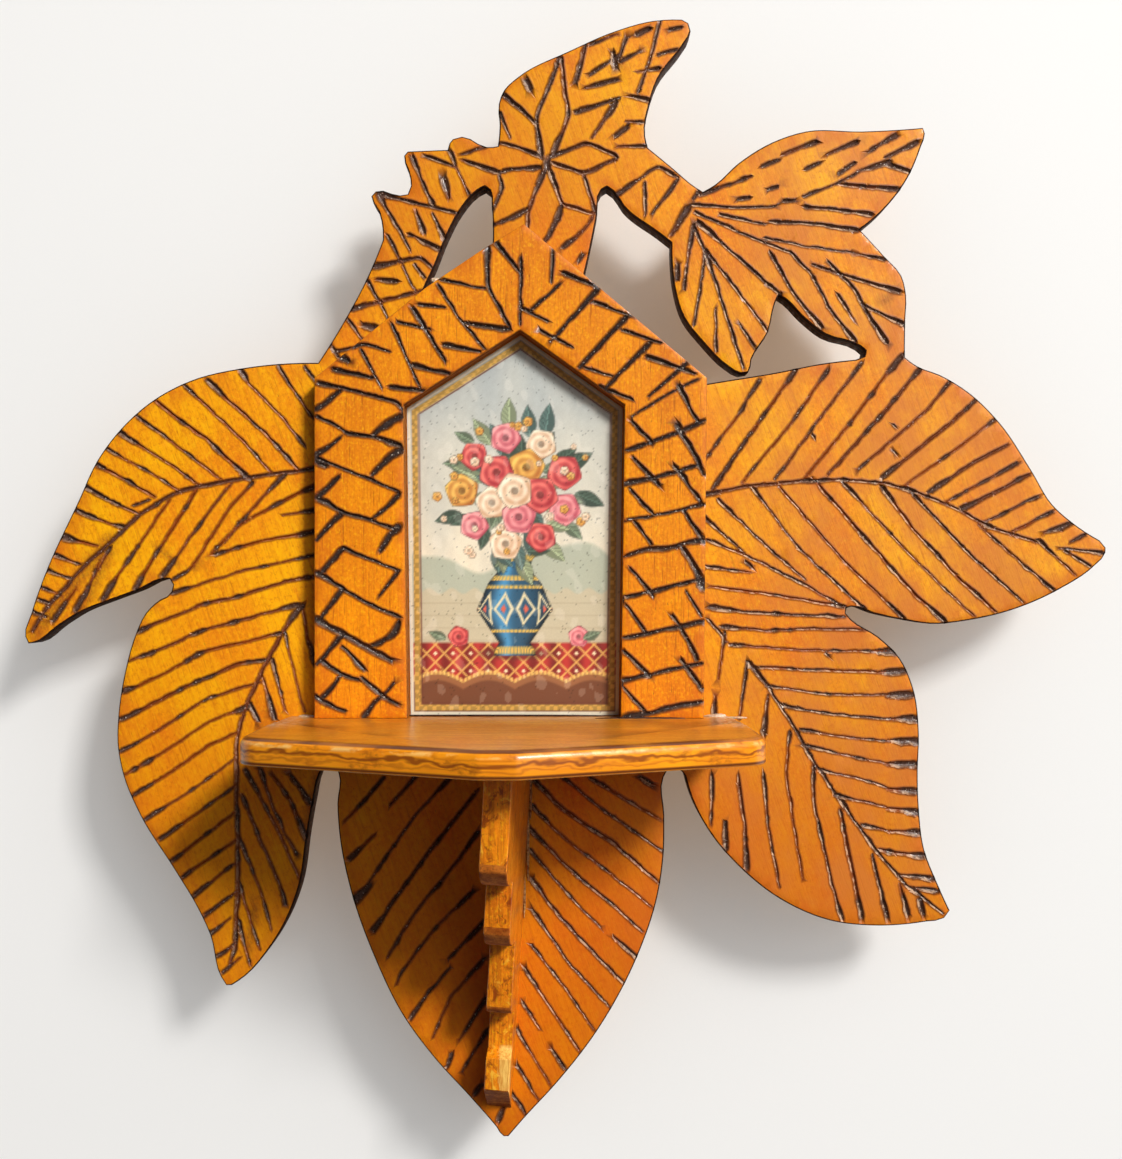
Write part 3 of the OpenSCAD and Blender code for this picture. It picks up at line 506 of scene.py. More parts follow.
# The board's lines in groups, which differ in how they were burned
LEFT_LINES = UPPER_LEFT_LEAF + LOWER_LEFT_LEAF
RIGHT_LINES = MIDDLE_LEAF + LOWER_RIGHT_LEAF + UPPER_RIGHT_LEAF
TOP_LINES = FLOWER_AND_TOP_LEAF + THREE_LOBED_LEAF + TOOTHED_STEM
FRAME_LINES = FRAME_LEFT_SLOPE + FRAME_RIGHT_SLOPE + FRAME_LEFT_RAIL + FRAME_RIGHT_RAIL

# Small burned dots, and broad scorch marks without a cut
RIGHT_LINES += [(FINE, (x, z), (x + 0.5, z - 0.5))
                for x, z in ((75.5, -34), (95.8, -31.3), (95.8, -37.8), (79, -88.5))]
BOARD_SMEARS = [
    (2.8, (-100, -60), (-106, -67.5), (-112, -75), (-118.5, -83)),
    (1.6, (-107, -77), (-103, -69), (-100, -63)),
    (1.3, (-60, -102), (-62, -110)),
    (1.5, (-63.5, -150), (-65.5, -163)),
    (1.4, (-48.5, -118), (-51, -131)),
    (1.2, (-88, -62), (-83, -66)),
    (1.0, (-75, -64), (-79, -67)),
    (1.2, (26.5, 60.5), (29, 57)),
    (1.3, (93, -1), (97, 3)),
]

# For each group the least and most share of width in its thin runs, those of their soot, and lines
BOARD_GROUPS = (((0.4, 0.72), (0, 0.5), LEFT_LINES),
                ((0.5, 0.85), (0.2, 0.8), RIGHT_LINES),
                ((0.6, 0.9), (0.5, 1), TOP_LINES))
FRAME_GROUPS = (((0.8, 1), (0.8, 1), FRAME_LINES),)

# How a burned line is cut, in millimetres: its points' step, its depth, the scorch beside it, the
# length of the neck between head and run, the mean space of its beads, and its least half width.
# Lines longer than MIDRIB are broader and sootier.
STEP = 0.9
SMEAR_STEP = 1.5
DEPTH = 0.62
SCORCH = 0.5
NECK = 2
BEAD_SPACING = 13
THINNEST = 0.14
MIDRIB = 55
# A board's mesh, in millimetres: its eased edge, the points' steps and least gaps, the reach of
# the browner rim, and the width up to which a loop is a nail's hole and no rim
ARRIS = 0.35
RIM_STEP = 0.8
RIM_FINE = 0.2
GRID_STEP = 2.2
POINT_GAP = 0.16
RIM_GAP = 0.22
RIM_REACH = 5
HOLE_WIDTH = 8
# Where the board is darker and redder: partly deeper varnish, partly painted shade below the shelf.
# Each: place and reach in metres, share and colour
DEEPER_TONE_AND_SHADE = (((0.03, 0, -0.19), 0.1, 0.7, (200, 84, 4)),
          ((-0.075, 0, -0.15), 0.075, 0.4, (210, 96, 4)),
          ((0.09, 0, -0.15), 0.085, 0.45, (200, 92, 10)),
          ((-0.008, 0, 0.03), 0.055, 0.45, (196, 100, 10)))
# The way toward the key light, up to the right: edges that face it get a painted highlight
GLINT_LIGHT_WAY = (0.75, 0, 0.65)
# No cut in the CAD boards' faces is as deep as this, in millimetres
CARVED_DEPTH = 0.9


def resampled(points, step):
    """Points at most step apart along an open path, as an array."""
    points = np.array(points, float)
    out = [points[:1]]
    for a, b in zip(points[:-1], points[1:]):
        n = max(1, math.ceil(np.linalg.norm(b - a) / step))
        out.append(a + (b - a) * (np.arange(1, n + 1) / n)[:, None])
    return np.concatenate(out)


def softened_path(points):
    """A path with its corners eased, as the hand draws it."""
    path = resampled(points, STEP)
    for _ in range(3):
        path[1:-1] = path[1:-1] / 2 + (path[:-2] + path[2:]) / 4
    return path


class Line:
    """One burned line: its path, half widths, depths, blackness and side directions."""

    def __init__(self, run, sooty, half_width, *points):
        self.path = softened_path(points)
        n = len(self.path)
        at = np.arange(n) * STEP
        length = max(at[-1], STEP)
        # a broad sooty head, then a thinner brown run with beads where the iron rested
        head = rng.uniform(2, 6)
        neck = head + NECK
        thin = half_width * rng.uniform(*run)
        soot = rng.uniform(*sooty)
        if length > MIDRIB:
            thin, soot = 1.2 * thin, 0.5 + 0.5 * soot
        places = [0, 0.5, head, neck, max(length - NECK, neck + 0.1), length + NECK]
        widths = [half_width, 1.25 * half_width, 1.1 * half_width, thin, thin, 0.5 * thin]
        self.half = np.interp(at, places, widths)
        black = np.interp(at, [0, head, neck], [1, 0.95, soot])
        for _ in range(rng.poisson(length / BEAD_SPACING)):
            bead = np.exp(-((at - rng.uniform(0.3, 1) * length) / rng.uniform(0.9, 3)) ** 2)
            self.half = np.maximum(self.half, half_width * bead)
            black = np.maximum(black, bead)
        wobble = np.convolve(rng.normal(0, 1, n + 2), np.ones(3) / 3, "valid")
        self.half = np.maximum(self.half * (1 + 0.18 * wobble), THINNEST)
        self.black = black
        self.depth = DEPTH * np.clip(self.half / PLAIN - 0.25, 0.2, 1.1)
        along = np.gradient(self.path, axis=0)
        along /= np.maximum(np.linalg.norm(along, axis=1), 1e-9)[:, None]
        self.side = np.stack([-along[:, 1], along[:, 0]], axis=1)
        self.path = self.path + self.side * (0.12 * wobble)[:, None]

    def mesh_points(self):
        """Points along the line's middle, sides and scorch, for the mesh to follow."""
        offsets = [np.zeros(len(self.half))]
        for share, extra in ((0.5, 0), (1, 0), (1, SCORCH)):
            offsets += [self.half * share + extra, -(self.half * share + extra)]
        return np.concatenate([self.path + self.side * o[:, None] for o in offsets])


def gap_to(points, path):
    """Distance of each point to the path, with the nearest piece of it and the place there."""
    a, d = path[None, :-1], np.diff(path, axis=0)[None]
    p = points[:, None]
    t = np.clip(((p - a) * d).sum(2) / np.maximum((d * d).sum(2), 1e-9), 0, 1)
    gap = np.linalg.norm(p - a - d * t[..., None], axis=2)
    k = gap.argmin(1)
    rows = np.arange(len(points))
    return gap[rows, k], k, t[rows, k]


def near_path(points, path, reach):
    """Numbers of the points that lie within reach of the path's box."""
    low, high = path.min(0) - reach, path.max(0) + reach
    return np.nonzero(np.all((points > low) & (points < high), axis=1))[0]


class Burns:
    """All the burned lines and smears of one board, from groups of lines as above."""

    def __init__(self, groups, smears):
        self.lines = [Line(run, sooty, *line) for run, sooty, lines in groups for line in lines]
        self.smears = [(half, resampled(points, SMEAR_STEP)) for half, *points in smears]

    def at(self, points):
        """At each point: depth, cover of the cut, its blackness, scorch beside it, and its core."""
        depth, cover, black, scorch, core = np.zeros((5, len(points)))
        for line in self.lines:
            ids = near_path(points, line.path, line.half.max() + SCORCH + 0.1)
            if not len(ids):
                continue
            gap, k, t = gap_to(points[ids], line.path)
            half, deep, soot = (v[k] * (1 - t) + v[k + 1] * t
                                for v in (line.half, line.depth, line.black))
            u = gap / half
            depth[ids] = np.maximum(depth[ids], deep * np.clip(1 - u ** 2, 0, 1))
            here = np.clip((1.3 - u) * 1.8, 0, 1)
            black[ids] = np.where(here > cover[ids], soot, black[ids])
            core[ids] = np.maximum(core[ids], np.clip(1 - u, 0, 1))
            cover[ids] = np.maximum(cover[ids], here)
            scorch[ids] = np.maximum(scorch[ids], np.clip(1 - (gap - half) / SCORCH, 0, 1))
        for half, path in self.smears:
            ids = near_path(points, path, half)
            if len(ids):
                share = 1.4 * (1 - gap_to(points[ids], path)[0] / half)
                scorch[ids] = np.maximum(scorch[ids], 0.8 * np.clip(share, 0, 1))
        return np.stack([depth, cover, black, scorch, core], axis=1)


# What is known at each point of a board's mesh
MARKS = ("depth", "cover", "black", "scorch", "core", "rim")
SCORCH_MARK = MARKS.index("scorch")


def outline_loops(obj, y):
    """Closed edge loops of the mesh's flat face at that y, in millimetres as arrays of (x, z)."""
    bm = bmesh.new()
    bm.from_mesh(obj.data)
    bmesh.ops.remove_doubles(bm, verts=bm.verts, dist=1e-6)
    flat = {f for f in bm.faces if all(abs(v.co.y / MM - y) < 0.01 for v in f.verts)}
    rim = [e for e in bm.edges if sum(f in flat for f in e.link_faces) == 1]
    nexts = {}
    for e in rim:
        for v in e.verts:
            nexts.setdefault(v, []).append(e)
    loops = []
    left = dict.fromkeys(rim)
    while left:
        e = next(iter(left))
        start = v = e.verts[0]
        loop = []
        while True:
            loop.append((v.co.x / MM, v.co.z / MM))
            left.pop(e, None)
            v = e.other_vert(v)
            if v is start:
                break
            e = next(x for x in nexts[v] if x in left)
        loops.append(np.array(loop))
    bm.free()
    return loops


def area(loop):
    """Enclosed area, negative where the loop runs clockwise."""
    x, z = loop[:, 0], loop[:, 1]
    return 0.5 * np.sum(x * np.roll(z, -1) - np.roll(x, -1) * z)


def inside(points, loops):
    """True for each point inside an odd number of loops."""
    order = np.argsort(points[:, 1])
    x, z = points[order].T
    flags = np.zeros(len(points), bool)
    for loop in loops:
        for a, b in zip(loop, np.roll(loop, -1, axis=0)):
            if a[1] > b[1]:
                a, b = b, a
            i, j = np.searchsorted(z, [a[1], b[1]])
            if i < j:
                at = a[0] + (z[i:j] - a[1]) / (b[1] - a[1]) * (b[0] - a[0])
                flags[i:j] ^= x[i:j] < at
    out = np.zeros(len(points), bool)
    out[order] = flags
    return out


def filled(loops, extra):
    """Triangles over what the loops enclose, through the extra points.

    Returns the points, the triangles, and the number among the points of each loop point."""
    points = np.concatenate([*loops, extra])
    edges, first = [], 0
    for loop in loops:
        n = len(loop)
        edges += [(first + i, first + (i + 1) % n) for i in range(n)]
        first += n
    verts, _, faces, origin, _, _ = geometry.delaunay_2d_cdt(
        [Vector(p) for p in points], edges, [], 0, 1e-5)
    verts = np.array(verts)
    faces = np.array(faces)
    faces = faces[inside(verts[faces].mean(1), loops)]
    number = np.full(len(points), -1)
    for i, sources in enumerate(origin):
        for j in sources:
            number[j] = i
    return verts, faces, number


def thinned(points, gap):
    """The points with near duplicates left out."""
    cells = np.round(points / gap).astype(int)
    _, first = np.unique(cells, axis=0, return_index=True)
    return points[np.sort(first)]


def rims_of(cad, y_back):
    """The board's rims, the outer one first, and the outward way at each of their points."""
    rims = [resampled(np.vstack([loop, loop[:1]]), RIM_STEP)[:-1]
            for loop in outline_loops(cad, y_back) if np.ptp(loop, axis=0).max() > HOLE_WIDTH]
    rims.sort(key=lambda loop: -abs(area(loop)))
    outward = []
    for i, loop in enumerate(rims):
        if (area(loop) > 0) != (i == 0):
            rims[i] = loop = loop[::-1]
        along = np.roll(loop, -1, axis=0) - np.roll(loop, 1, axis=0)
        along /= np.linalg.norm(along, axis=1)[:, None]
        outward.append(np.stack([along[:, 1], -along[:, 0]], axis=1))
    return rims, outward


def face_points(burns, outer):
    """Points for a board's face, along its burned lines and on a loose grid over the outer rim."""
    along_lines = np.concatenate([line.mesh_points() for line in burns.lines])
    grid = np.meshgrid(*(np.arange(a, b, GRID_STEP) for a, b in zip(outer.min(0), outer.max(0))))
    grid = np.stack(grid, -1).reshape(-1, 2)
    grid += rng.uniform(-0.5, 0.5, grid.shape)
    return thinned(np.concatenate([along_lines, grid]), POINT_GAP)


def carved_board(name, node, burns, rim_scorch, dark_arris):
    """The node's board with a carved front, an eased front edge, and its own back and holes."""
    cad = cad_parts[node]
    low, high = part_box(node)
    y_front, y_back = low.y / MM, high.y / MM
    rims, outward = rims_of(cad, y_back)
    inset = [loop - n * ARRIS for loop, n in zip(rims, outward)]
    tree = tree_of(np.concatenate([resampled(loop, RIM_FINE) for loop in inset]))
    free = face_points(burns, rims[0])
    verts, faces, own_number = filled(inset, free[gaps_in(tree, free) > RIM_GAP])

    bm = bmesh.new()
    marks = np.column_stack([burns.at(verts), np.clip(1 - gaps_in(tree, verts) / RIM_REACH, 0, 1)])
    front = [bm.verts.new((x * MM, (y_front + d) * MM, z * MM))
             for (x, z), d in zip(verts, marks[:, 0])]
    marks = [marks]
    for a, b, c in faces:
        bm.faces.new((front[a], front[b], front[c]))
    # eased edge, wall and back, ring by ring from the carved face
    first = 0
    for loop, n in zip(rims, outward):
        count = len(loop)
        ring = [front[own_number[first + i]] for i in range(count)]
        first += count
        rim = np.column_stack([burns.at(loop - n * ARRIS), np.ones(count)])
        # inset, drop and share of the cut's depth for each ring
        for inward, drop, keep in ((0.1, 0.1, 0.85), (0, ARRIS, 0.5), (0, 2.6, 0.1),
                                   (0, y_back - y_front, 0)):
            burr = 0.3 * keep * rim[:, 0]
            new = [bm.verts.new(((x + nx * (b - inward)) * MM, (y_front + drop + d * keep) * MM,
                                 (z + nz * (b - inward)) * MM))
                   for (x, z), (nx, nz), b, d in zip(loop, n, burr, rim[:, 0])]
            mark = rim * [1, keep, 1, keep, keep, 1]
            mark[:, SCORCH_MARK] = np.maximum(mark[:, SCORCH_MARK], rim_scorch)
            marks.append(mark)
            for i in range(count):
                j = (i + 1) % count
                strip = bm.faces.new((ring[i], ring[j], new[j], new[i]))
                strip.material_index = dark_arris or inward == 0
            ring = new
    mesh = bpy.data.meshes.new(name)
    bm.normal_update()
    bm.to_mesh(mesh)
    bm.free()

    marks = np.concatenate(marks).astype(np.float32)
    for k, label in enumerate(MARKS[1:], 1):
        made = mesh.attributes.new(label, "FLOAT", "POINT")
        made.data.foreach_set("value", marks[:, k].copy())
    obj = in_scene(name, mesh)
    add_back(obj, cad, rims, y_front, y_back)
    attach(obj, "root")
    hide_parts(node)
    return obj


def tree_of(points):
    """A search tree of flat points."""
    tree = kdtree.KDTree(len(points))
    for i, p in enumerate(points):
        tree.insert((*p, 0), i)
    tree.balance()
    return tree


def gaps_in(tree, points):
    """Distance of each point to the tree's nearest."""
    return np.array([tree.find((*p, 0))[2] for p in points])


def add_back(obj, cad, rims, y_front, y_back):
    """Joins the node's own back face and the walls of its blind holes to the board."""
    bm = bmesh.new()
    bm.from_mesh(obj.data)
    own = bmesh.new()
    own.from_mesh(cad.data)
    tree = tree_of(np.concatenate(rims))
    made = {}
    for f in own.faces:
        ys = [v.co.y / MM for v in f.verts]
        on_rim = all(tree.find((v.co.x / MM, v.co.z / MM, 0))[2] < 0.5 for v in f.verts)
        if max(ys) < y_front + CARVED_DEPTH or on_rim and min(ys) < y_back - 0.5:
            continue
        for v in f.verts:
            if v not in made:
                made[v] = bm.verts.new(v.co)
        bm.faces.new([made[v] for v in f.verts]).material_index = 2
    own.free()
    bmesh.ops.remove_doubles(bm, verts=bm.verts, dist=2e-6)
    bmesh.ops.recalc_face_normals(bm, faces=bm.faces)
    bm.to_mesh(obj.data)
    bm.free()
    shade(obj, 35)


def shade(obj, degrees):
    """Smooth shading, with edges sharper than that left crisp."""
    mesh = obj.data
    bm = bmesh.new()
    bm.from_mesh(mesh)
    limit = math.radians(degrees)
    for f in bm.faces:
        f.smooth = True
    for e in bm.edges:
        if len(e.link_faces) == 2:
            e.smooth = e.calc_face_angle(0) < limit
    bm.to_mesh(mesh)
    bm.free()


def eased_piece(name, node, upper, lower):
    """The node's own form with its edges rounded, the top ones by upper and the others by lower,
    apart from those at the board's face."""
    cut_y = BOARD_FACE - 0.05
    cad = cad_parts[node]
    mesh = cad.data.copy()
    mesh.name = name
    bm = bmesh.new()
    bm.from_mesh(mesh)
    bmesh.ops.remove_doubles(bm, verts=bm.verts, dist=1e-6)
    bmesh.ops.dissolve_limit(bm, angle_limit=math.radians(1), verts=bm.verts, edges=bm.edges)
    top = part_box(node)[1].z - 0.01 * MM
    for width, high in ((upper, True), (lower, False)):
        sharp = [e for e in bm.edges
                 if len(e.link_faces) == 2 and e.calc_face_angle(0) > math.radians(24)
                 and all(v.co.y / MM < cut_y for v in e.verts)
                 and all(v.co.z > top for v in e.verts) == high]
        bmesh.ops.bevel(bm, geom=sharp, offset=width * MM, segments=5, profile=0.5,
                        affect="EDGES", clamp_overlap=True)
    bmesh.ops.triangulate(bm, faces=bm.faces)
    bm.to_mesh(mesh)
    bm.free()
    obj = in_scene(name, mesh)
    shade(obj, 40)
    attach(obj, "root")
    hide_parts(node)
    return obj


# The picture card: a generic vase of flowers, in millimetres from the middle of its foot
CARD_CELL = 0.34
PAPER = (225, 215, 196)


def soft(value, width=0.3):
    """1 below 0, 0 above it, with a soft edge that wide."""
    return np.clip(0.5 - value / width, 0, 1)


def over(colour, paint, mask):
    """The colour with the paint laid over it where the mask is 1."""
    return colour + (np.asarray(paint, float) - colour) * mask[:, None]


def mottle(x, z, size):
    """Smooth random cloud from -1 to 1, of about that size."""
    total = np.zeros(len(x))
    for _ in range(9):
        turn = rng.uniform(0, 2 * np.pi)
        wave = size * rng.uniform(0.6, 1.8)
        phase = rng.uniform(0, 7)
        total += np.sin(2 * np.pi * (x * np.cos(turn) + z * np.sin(turn)) / wave + phase)
    return np.clip(total / 5, -1, 1)


def paint_leaf(colour, x, z, place, turn, length, paint):
    """A ribbed leaf from its stalk at place, pointing the way that turn gives."""
    along = (x - place[0]) * np.cos(turn) + (z - place[1]) * np.sin(turn)
    aside = -(x - place[0]) * np.sin(turn) + (z - place[1]) * np.cos(turn)
    share = np.clip(along / length, 0, 1)
    half = 0.24 * length * np.sin(np.pi * share ** 0.8)
    shape = soft(np.abs(aside) - half) * (along > 0) * (along < length)
    vein = np.abs(aside) < 0.16
    ribs = 0.5 + 0.5 * np.sin((along - np.abs(aside)) * 5)
    tone = np.array(paint) * (0.78 + 0.3 * ribs * (aside > 0) + 0.12)[:, None]
    tone = np.where(vein[:, None], np.array(paint) * 1.35, tone)
    rim = soft(np.abs(np.abs(aside) - half) - 0.12)
    return over(over(colour, np.array(paint) * 0.45, shape * rim), tone, shape * (1 - rim))


def paint_blossom(colour, x, z, place, radius, light, dark):
    """A round rose of curled petals, seen from above."""
    dx, dz = x - place[0], z - place[1]
    out = np.hypot(dx, dz) / radius
    turn = np.arctan2(dz, dx)
    phase = rng.uniform(0, 6)
    rim = 1 - 0.13 * np.abs(np.sin(2.5 * turn + phase))
    shape = soft((out - rim) * radius)
    curl = np.cos(2 * np.pi * (out * 2.4 - turn / (2 * np.pi) + phase)) * (0.35 + 0.65 * out)
    lit = 0.56 + 0.34 * curl + 0.16 * (dz - dx) / radius
    petal = np.cos(5 * turn + phase + 4 * out)
    lit = np.clip(lit + 0.14 * petal * out, 0, 1) ** 1.2
    paint = np.array(dark) + (np.array(light) - np.array(dark)) * lit[:, None]
    edge = soft(np.abs(out - rim) * radius - 0.14)
    paint = paint * (1 - 0.45 * edge[:, None]) * (1 - 0.35 * soft((out - 0.2) * radius)[:, None])
    return over(colour, paint, shape)


def paint_vase(colour, x, z):
    """A blue vase with gold bands, and cream lozenges round its belly."""
    foot, lip = 15, 40
    belly_at, belly_half = 26.5, 4.6
    share = np.clip((z - foot) / (lip - foot), 0, 1)
    half = np.interp(share, [0, 0.05, 0.12, 0.45, 0.72, 0.86, 0.95, 1],
                     [5.2, 5.0, 3.9, 9.5, 6.6, 3.7, 4.4, 5.6])
    shape = soft(np.abs(x) - half) * (z > foot) * (z < lip)
    round_at = x / half
    lit = 0.62 + 0.5 * np.exp(-((round_at + 0.42) / 0.28) ** 2) - 0.42 * np.abs(round_at) ** 3
    paint = np.array([62, 124, 164]) * lit[:, None]
    from_belly = np.abs(z - belly_at)
    belly = from_belly < belly_half
    around = np.arcsin(np.clip(round_at, -1, 1)) * 5.2
    lozenge = np.abs((around / 3.2) % 1 - 0.5) * 2 + from_belly / belly_half
    paint = over(paint, [232, 214, 164], soft(np.abs(lozenge - 0.8) * 2 - 0.3) * belly * 0.9)
    paint = over(paint, [206, 92, 70], soft(lozenge * 2 - 0.5) * belly)
    for height, thick in ((16.2, 0.9), (21, 0.4), (32, 0.4), (34.2, 0.6), (39.2, 0.8)):
        band = soft(np.abs(z - height) - thick)
        beads = 0.75 + 0.25 * np.sin(around * 7)
        paint = over(paint, [226, 178, 74], band * beads)
    edge = soft(np.abs(np.abs(x) - half) - 0.15)
    return over(colour, paint * (1 - 0.5 * edge[:, None]), shape)


def paint_card(x, z, edge_gap):
    """Display colours, 0 to 255, for points of the card that lie edge_gap inside its rim."""
    sky_foot, wall_top, table = 34, 31, 18
    sky = np.clip((z - sky_foot) / (z.max() - sky_foot), 0, 1)[:, None]
    cloud = mottle(x, z, 16)[:, None]
    colour = np.array([226, 214, 186]) * (1 - sky) + np.array([158, 166, 166]) * sky
    colour = colour + cloud * [12, 9, 5] + mottle(x, z, 2.5)[:, None] * 4
    # far hills behind a low wall
    hill = 40 + 3.5 * np.sin(x / 7) + 1.4 * np.sin(x / 2.9 + 1)
    colour = over(colour, [150, 160, 140], soft(z - hill, 1.2) * 0.75)
    colour = over(colour, [186, 176, 146], soft(z - wall_top - 0.7 * np.sin(x * 1.1), 0.6))
    on_wall = z < wall_top
    courses = soft(np.abs((z / 3.1) % 1 - 0.5) * 3.1 - 1.42) * on_wall
    colour = over(colour, [150, 134, 104], (1 - courses) * on_wall * 0.4)
    # cloth on the table
    swag = 8.5 + 2.2 * np.abs(np.sin(x / 4.1))
    colour = over(colour, [140, 88, 54], soft(z - table, 0.4))
    colour = over(colour, [104, 60, 38], soft(z - swag + 2, 0.6))
    fold = 0.82 + 0.18 * np.sin(x * 1.15 + 0.6 * np.sin(z / 3))
    lozenge = np.abs((x / 4.4) % 1 - 0.5) + np.abs((z / 4.4) % 1 - 0.5)
    cloth = np.array([176, 48, 44]) * fold[:, None]
    cloth = over(cloth, [222, 176, 88], soft(np.abs(lozenge - 0.5) * 4 - 0.3) * 0.85)
    cloth = over(cloth, [236, 214, 168], soft(lozenge * 4 - 0.5))
    on_cloth = soft(swag - z, 0.5) * soft(z - table, 0.5)
    colour = over(colour, cloth, on_cloth)
    fringe = soft(np.abs(z - swag) - 0.5) * (0.7 + 0.3 * np.sin(x * 6))
    colour = over(colour, [228, 186, 96], fringe)
    vase_shade = soft(np.hypot(x / 9, (z - 15.4) / 1.6) - 1, 0.5)
    colour = over(colour, [70, 40, 30], vase_shade * 0.5)
    colour = paint_vase(colour, x, z)
    # leaves, from the outside of the bunch inwards, then the blossoms
    middle = np.array([0, 56])
    greens = ([58, 74, 62], [92, 106, 84], [126, 136, 104], [70, 92, 86])
    count = 46
    for k in range(count):
        turn = k * 2.4 + rng.uniform(-0.2, 0.2)
        out = 15 - 11 * k / count
        place = middle + out * np.array([np.cos(turn), 1.12 * np.sin(turn)])
        if place[1] > 38:
            colour = paint_leaf(colour, x, z, place, turn + rng.uniform(-0.5, 0.5),
                                rng.uniform(5.5, 8.5), greens[k % 4])
    for k in range(5):
        place = (rng.uniform(-5, 5), 41)
        colour = paint_leaf(colour, x, z, place, -1.57 + (k - 2) * 0.8, 6, greens[k % 4])
    coral = ([238, 118, 104], [150, 34, 44])
    pink = ([244, 164, 160], [176, 70, 84])
    cream = ([248, 232, 204], [196, 150, 112])
    gold = ([240, 192, 92], [170, 96, 40])
    ring = (coral, cream, pink, coral, gold, pink, cream, coral, pink)
    for k, (light, dark) in enumerate(ring):
        turn = k * 2 * np.pi / 9 + 0.35
        place = middle + [13.2 * np.cos(turn), 13.4 * np.sin(turn)]
        colour = paint_blossom(colour, x, z, place, rng.uniform(3.7, 4.6), light, dark)
    for k, (light, dark) in enumerate((gold, coral, cream, pink, coral)):
        turn = k * 2 * np.pi / 5 + 1.1
        place = middle + [6.4 * np.cos(turn), 6.6 * np.sin(turn)]
        colour = paint_blossom(colour, x, z, place, rng.uniform(4.0, 4.8), light, dark)
    colour = paint_blossom(colour, x, z, middle, 4.7, *cream)
    for k in range(30):
        turn = rng.uniform(0, 2 * np.pi)
        out = rng.uniform(9, 19.5)
        place = middle + out * np.array([np.cos(turn), np.sin(turn)])
        colour = paint_blossom(colour, x, z, place, rng.uniform(0.8, 1.35), *(cream, gold)[k % 2])
    for side in (-1, 1):
        colour = paint_blossom(colour, x, z, (side * 15 + 1, 19.6), 2.8, *(coral, pink)[side > 0])
        colour = paint_leaf(colour, x, z, (side * 17, 19), 1.57 - side * 1.2, 5, greens[1])
    # gilt border
    line = soft(np.abs(edge_gap - 1.9) - 0.75)
    dots = np.sin(x * 2.9) * np.sin(z * 2.9)
    gilt = np.array([196, 150, 66]) * (0.86 + 0.2 * (dots > 0.1))[:, None]
    colour = over(colour, gilt, line)
    colour = over(colour, [92, 44, 34], soft(np.abs(edge_gap - 2.9) - 0.14))
    colour = over(colour, [236, 224, 196], soft(edge_gap - 0.9))
    # darker towards the rim, where the card meets the frame; age as specks and rubbed spots
    colour = colour * (1 - 0.2 * np.exp(-edge_gap / 2.2))[:, None]
    speck = rng.random(len(x)) > 0.985
    colour = np.where(speck[:, None], colour * 0.72, colour)
    colour = over(colour, [235, 228, 214], 0.16 * (mottle(x, z, 5) > 0.55))
    return np.clip(colour * 1.06 + 12, 0, 255)


def row_ends(corners, z):
    """Where a row of the card at that height starts and ends."""
    xs = [a[0] + (z - a[1]) / (b[1] - a[1]) * (b[0] - a[0])
          for a, b in zip(corners, np.roll(corners, -1, axis=0))
          if min(a[1], b[1]) <= z <= max(a[1], b[1]) and abs(a[1] - b[1]) > 1e-4]
    return min(xs), max(xs)


def picture_card():
    """The printed card: a fine grid that carries the picture, with its edges and back."""
    low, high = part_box("picture_card")
    corners = outline_loops(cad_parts["picture_card"], low.y / MM)[0]
    if area(corners) < 0:
        corners = corners[::-1]
    foot, top = low.z / MM, high.z / MM
    rows = math.ceil((top - foot) / CARD_CELL)
    cols = math.ceil((high.x - low.x) / MM / CARD_CELL)
    heights = np.linspace(foot, top - 0.02, rows)
    left, right = np.array([row_ends(corners, z) for z in heights]).T
    share = np.linspace(0, 1, cols)
    x = (left[:, None] + (right - left)[:, None] * share).ravel()
    z = np.repeat(heights, cols)
    gap = np.full(len(x), 99.0)
    for a, b in zip(corners, np.roll(corners, -1, axis=0)):
        along = (b - a) / np.linalg.norm(b - a)
        gap = np.minimum(gap, np.abs((x - a[0]) * along[1] - (z - a[1]) * along[0]))
    colour = paint_card((x - (left[0] + right[0]) / 2), z - foot, gap)
    lift = 0.05 * (1 + mottle(x, z, 30)) * np.clip(gap / 3, 0, 1)
    bm = bmesh.new()
    face = [bm.verts.new((a * MM, (low.y / MM + d) * MM, b * MM)) for a, b, d in zip(x, z, lift)]
    for r in range(rows - 1):
        for c in range(cols - 1):
            i = r * cols + c
            bm.faces.new((face[i], face[i + 1], face[i + 1 + cols], face[i + cols]))
    rim = (list(range(cols)) + [r * cols + cols - 1 for r in range(1, rows)]
           + [(rows - 1) * cols + c for c in range(cols - 2, -1, -1)]
           + [r * cols for r in range(rows - 2, 0, -1)])
    back = [bm.verts.new((x[i] * MM, high.y, z[i] * MM)) for i in rim]
    for k, i in enumerate(rim):
        j = (k + 1) % len(rim)
        bm.faces.new((face[rim[j]], face[i], back[k], back[j]))
    bm.faces.new(back)
    bmesh.ops.triangulate(bm, faces=[f for f in bm.faces if len(f.verts) > 4])
    bmesh.ops.recalc_face_normals(bm, faces=bm.faces)
    mesh = bpy.data.meshes.new("printed_card")
    bm.to_mesh(mesh)
    bm.free()
    made = mesh.color_attributes.new("print", "FLOAT_COLOR", "POINT")
    values = np.ones((len(mesh.vertices), 4), np.float32)
    values[:, :3] = (np.array(PAPER) / 255) ** 2.2
    values[:len(colour), :3] = (colour / 255) ** 2.2
    made.data.foreach_set("color", values.ravel())
    obj = in_scene("printed_card", mesh)
    shade(obj, 40)
    mesh.materials.append(card_print("card_print"))
    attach(obj, "root")
    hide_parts("picture_card")


# Materials

# A Mix node's sockets for colours
COLOUR_A, COLOUR_B, MIXED_COLOUR = 6, 7, 2


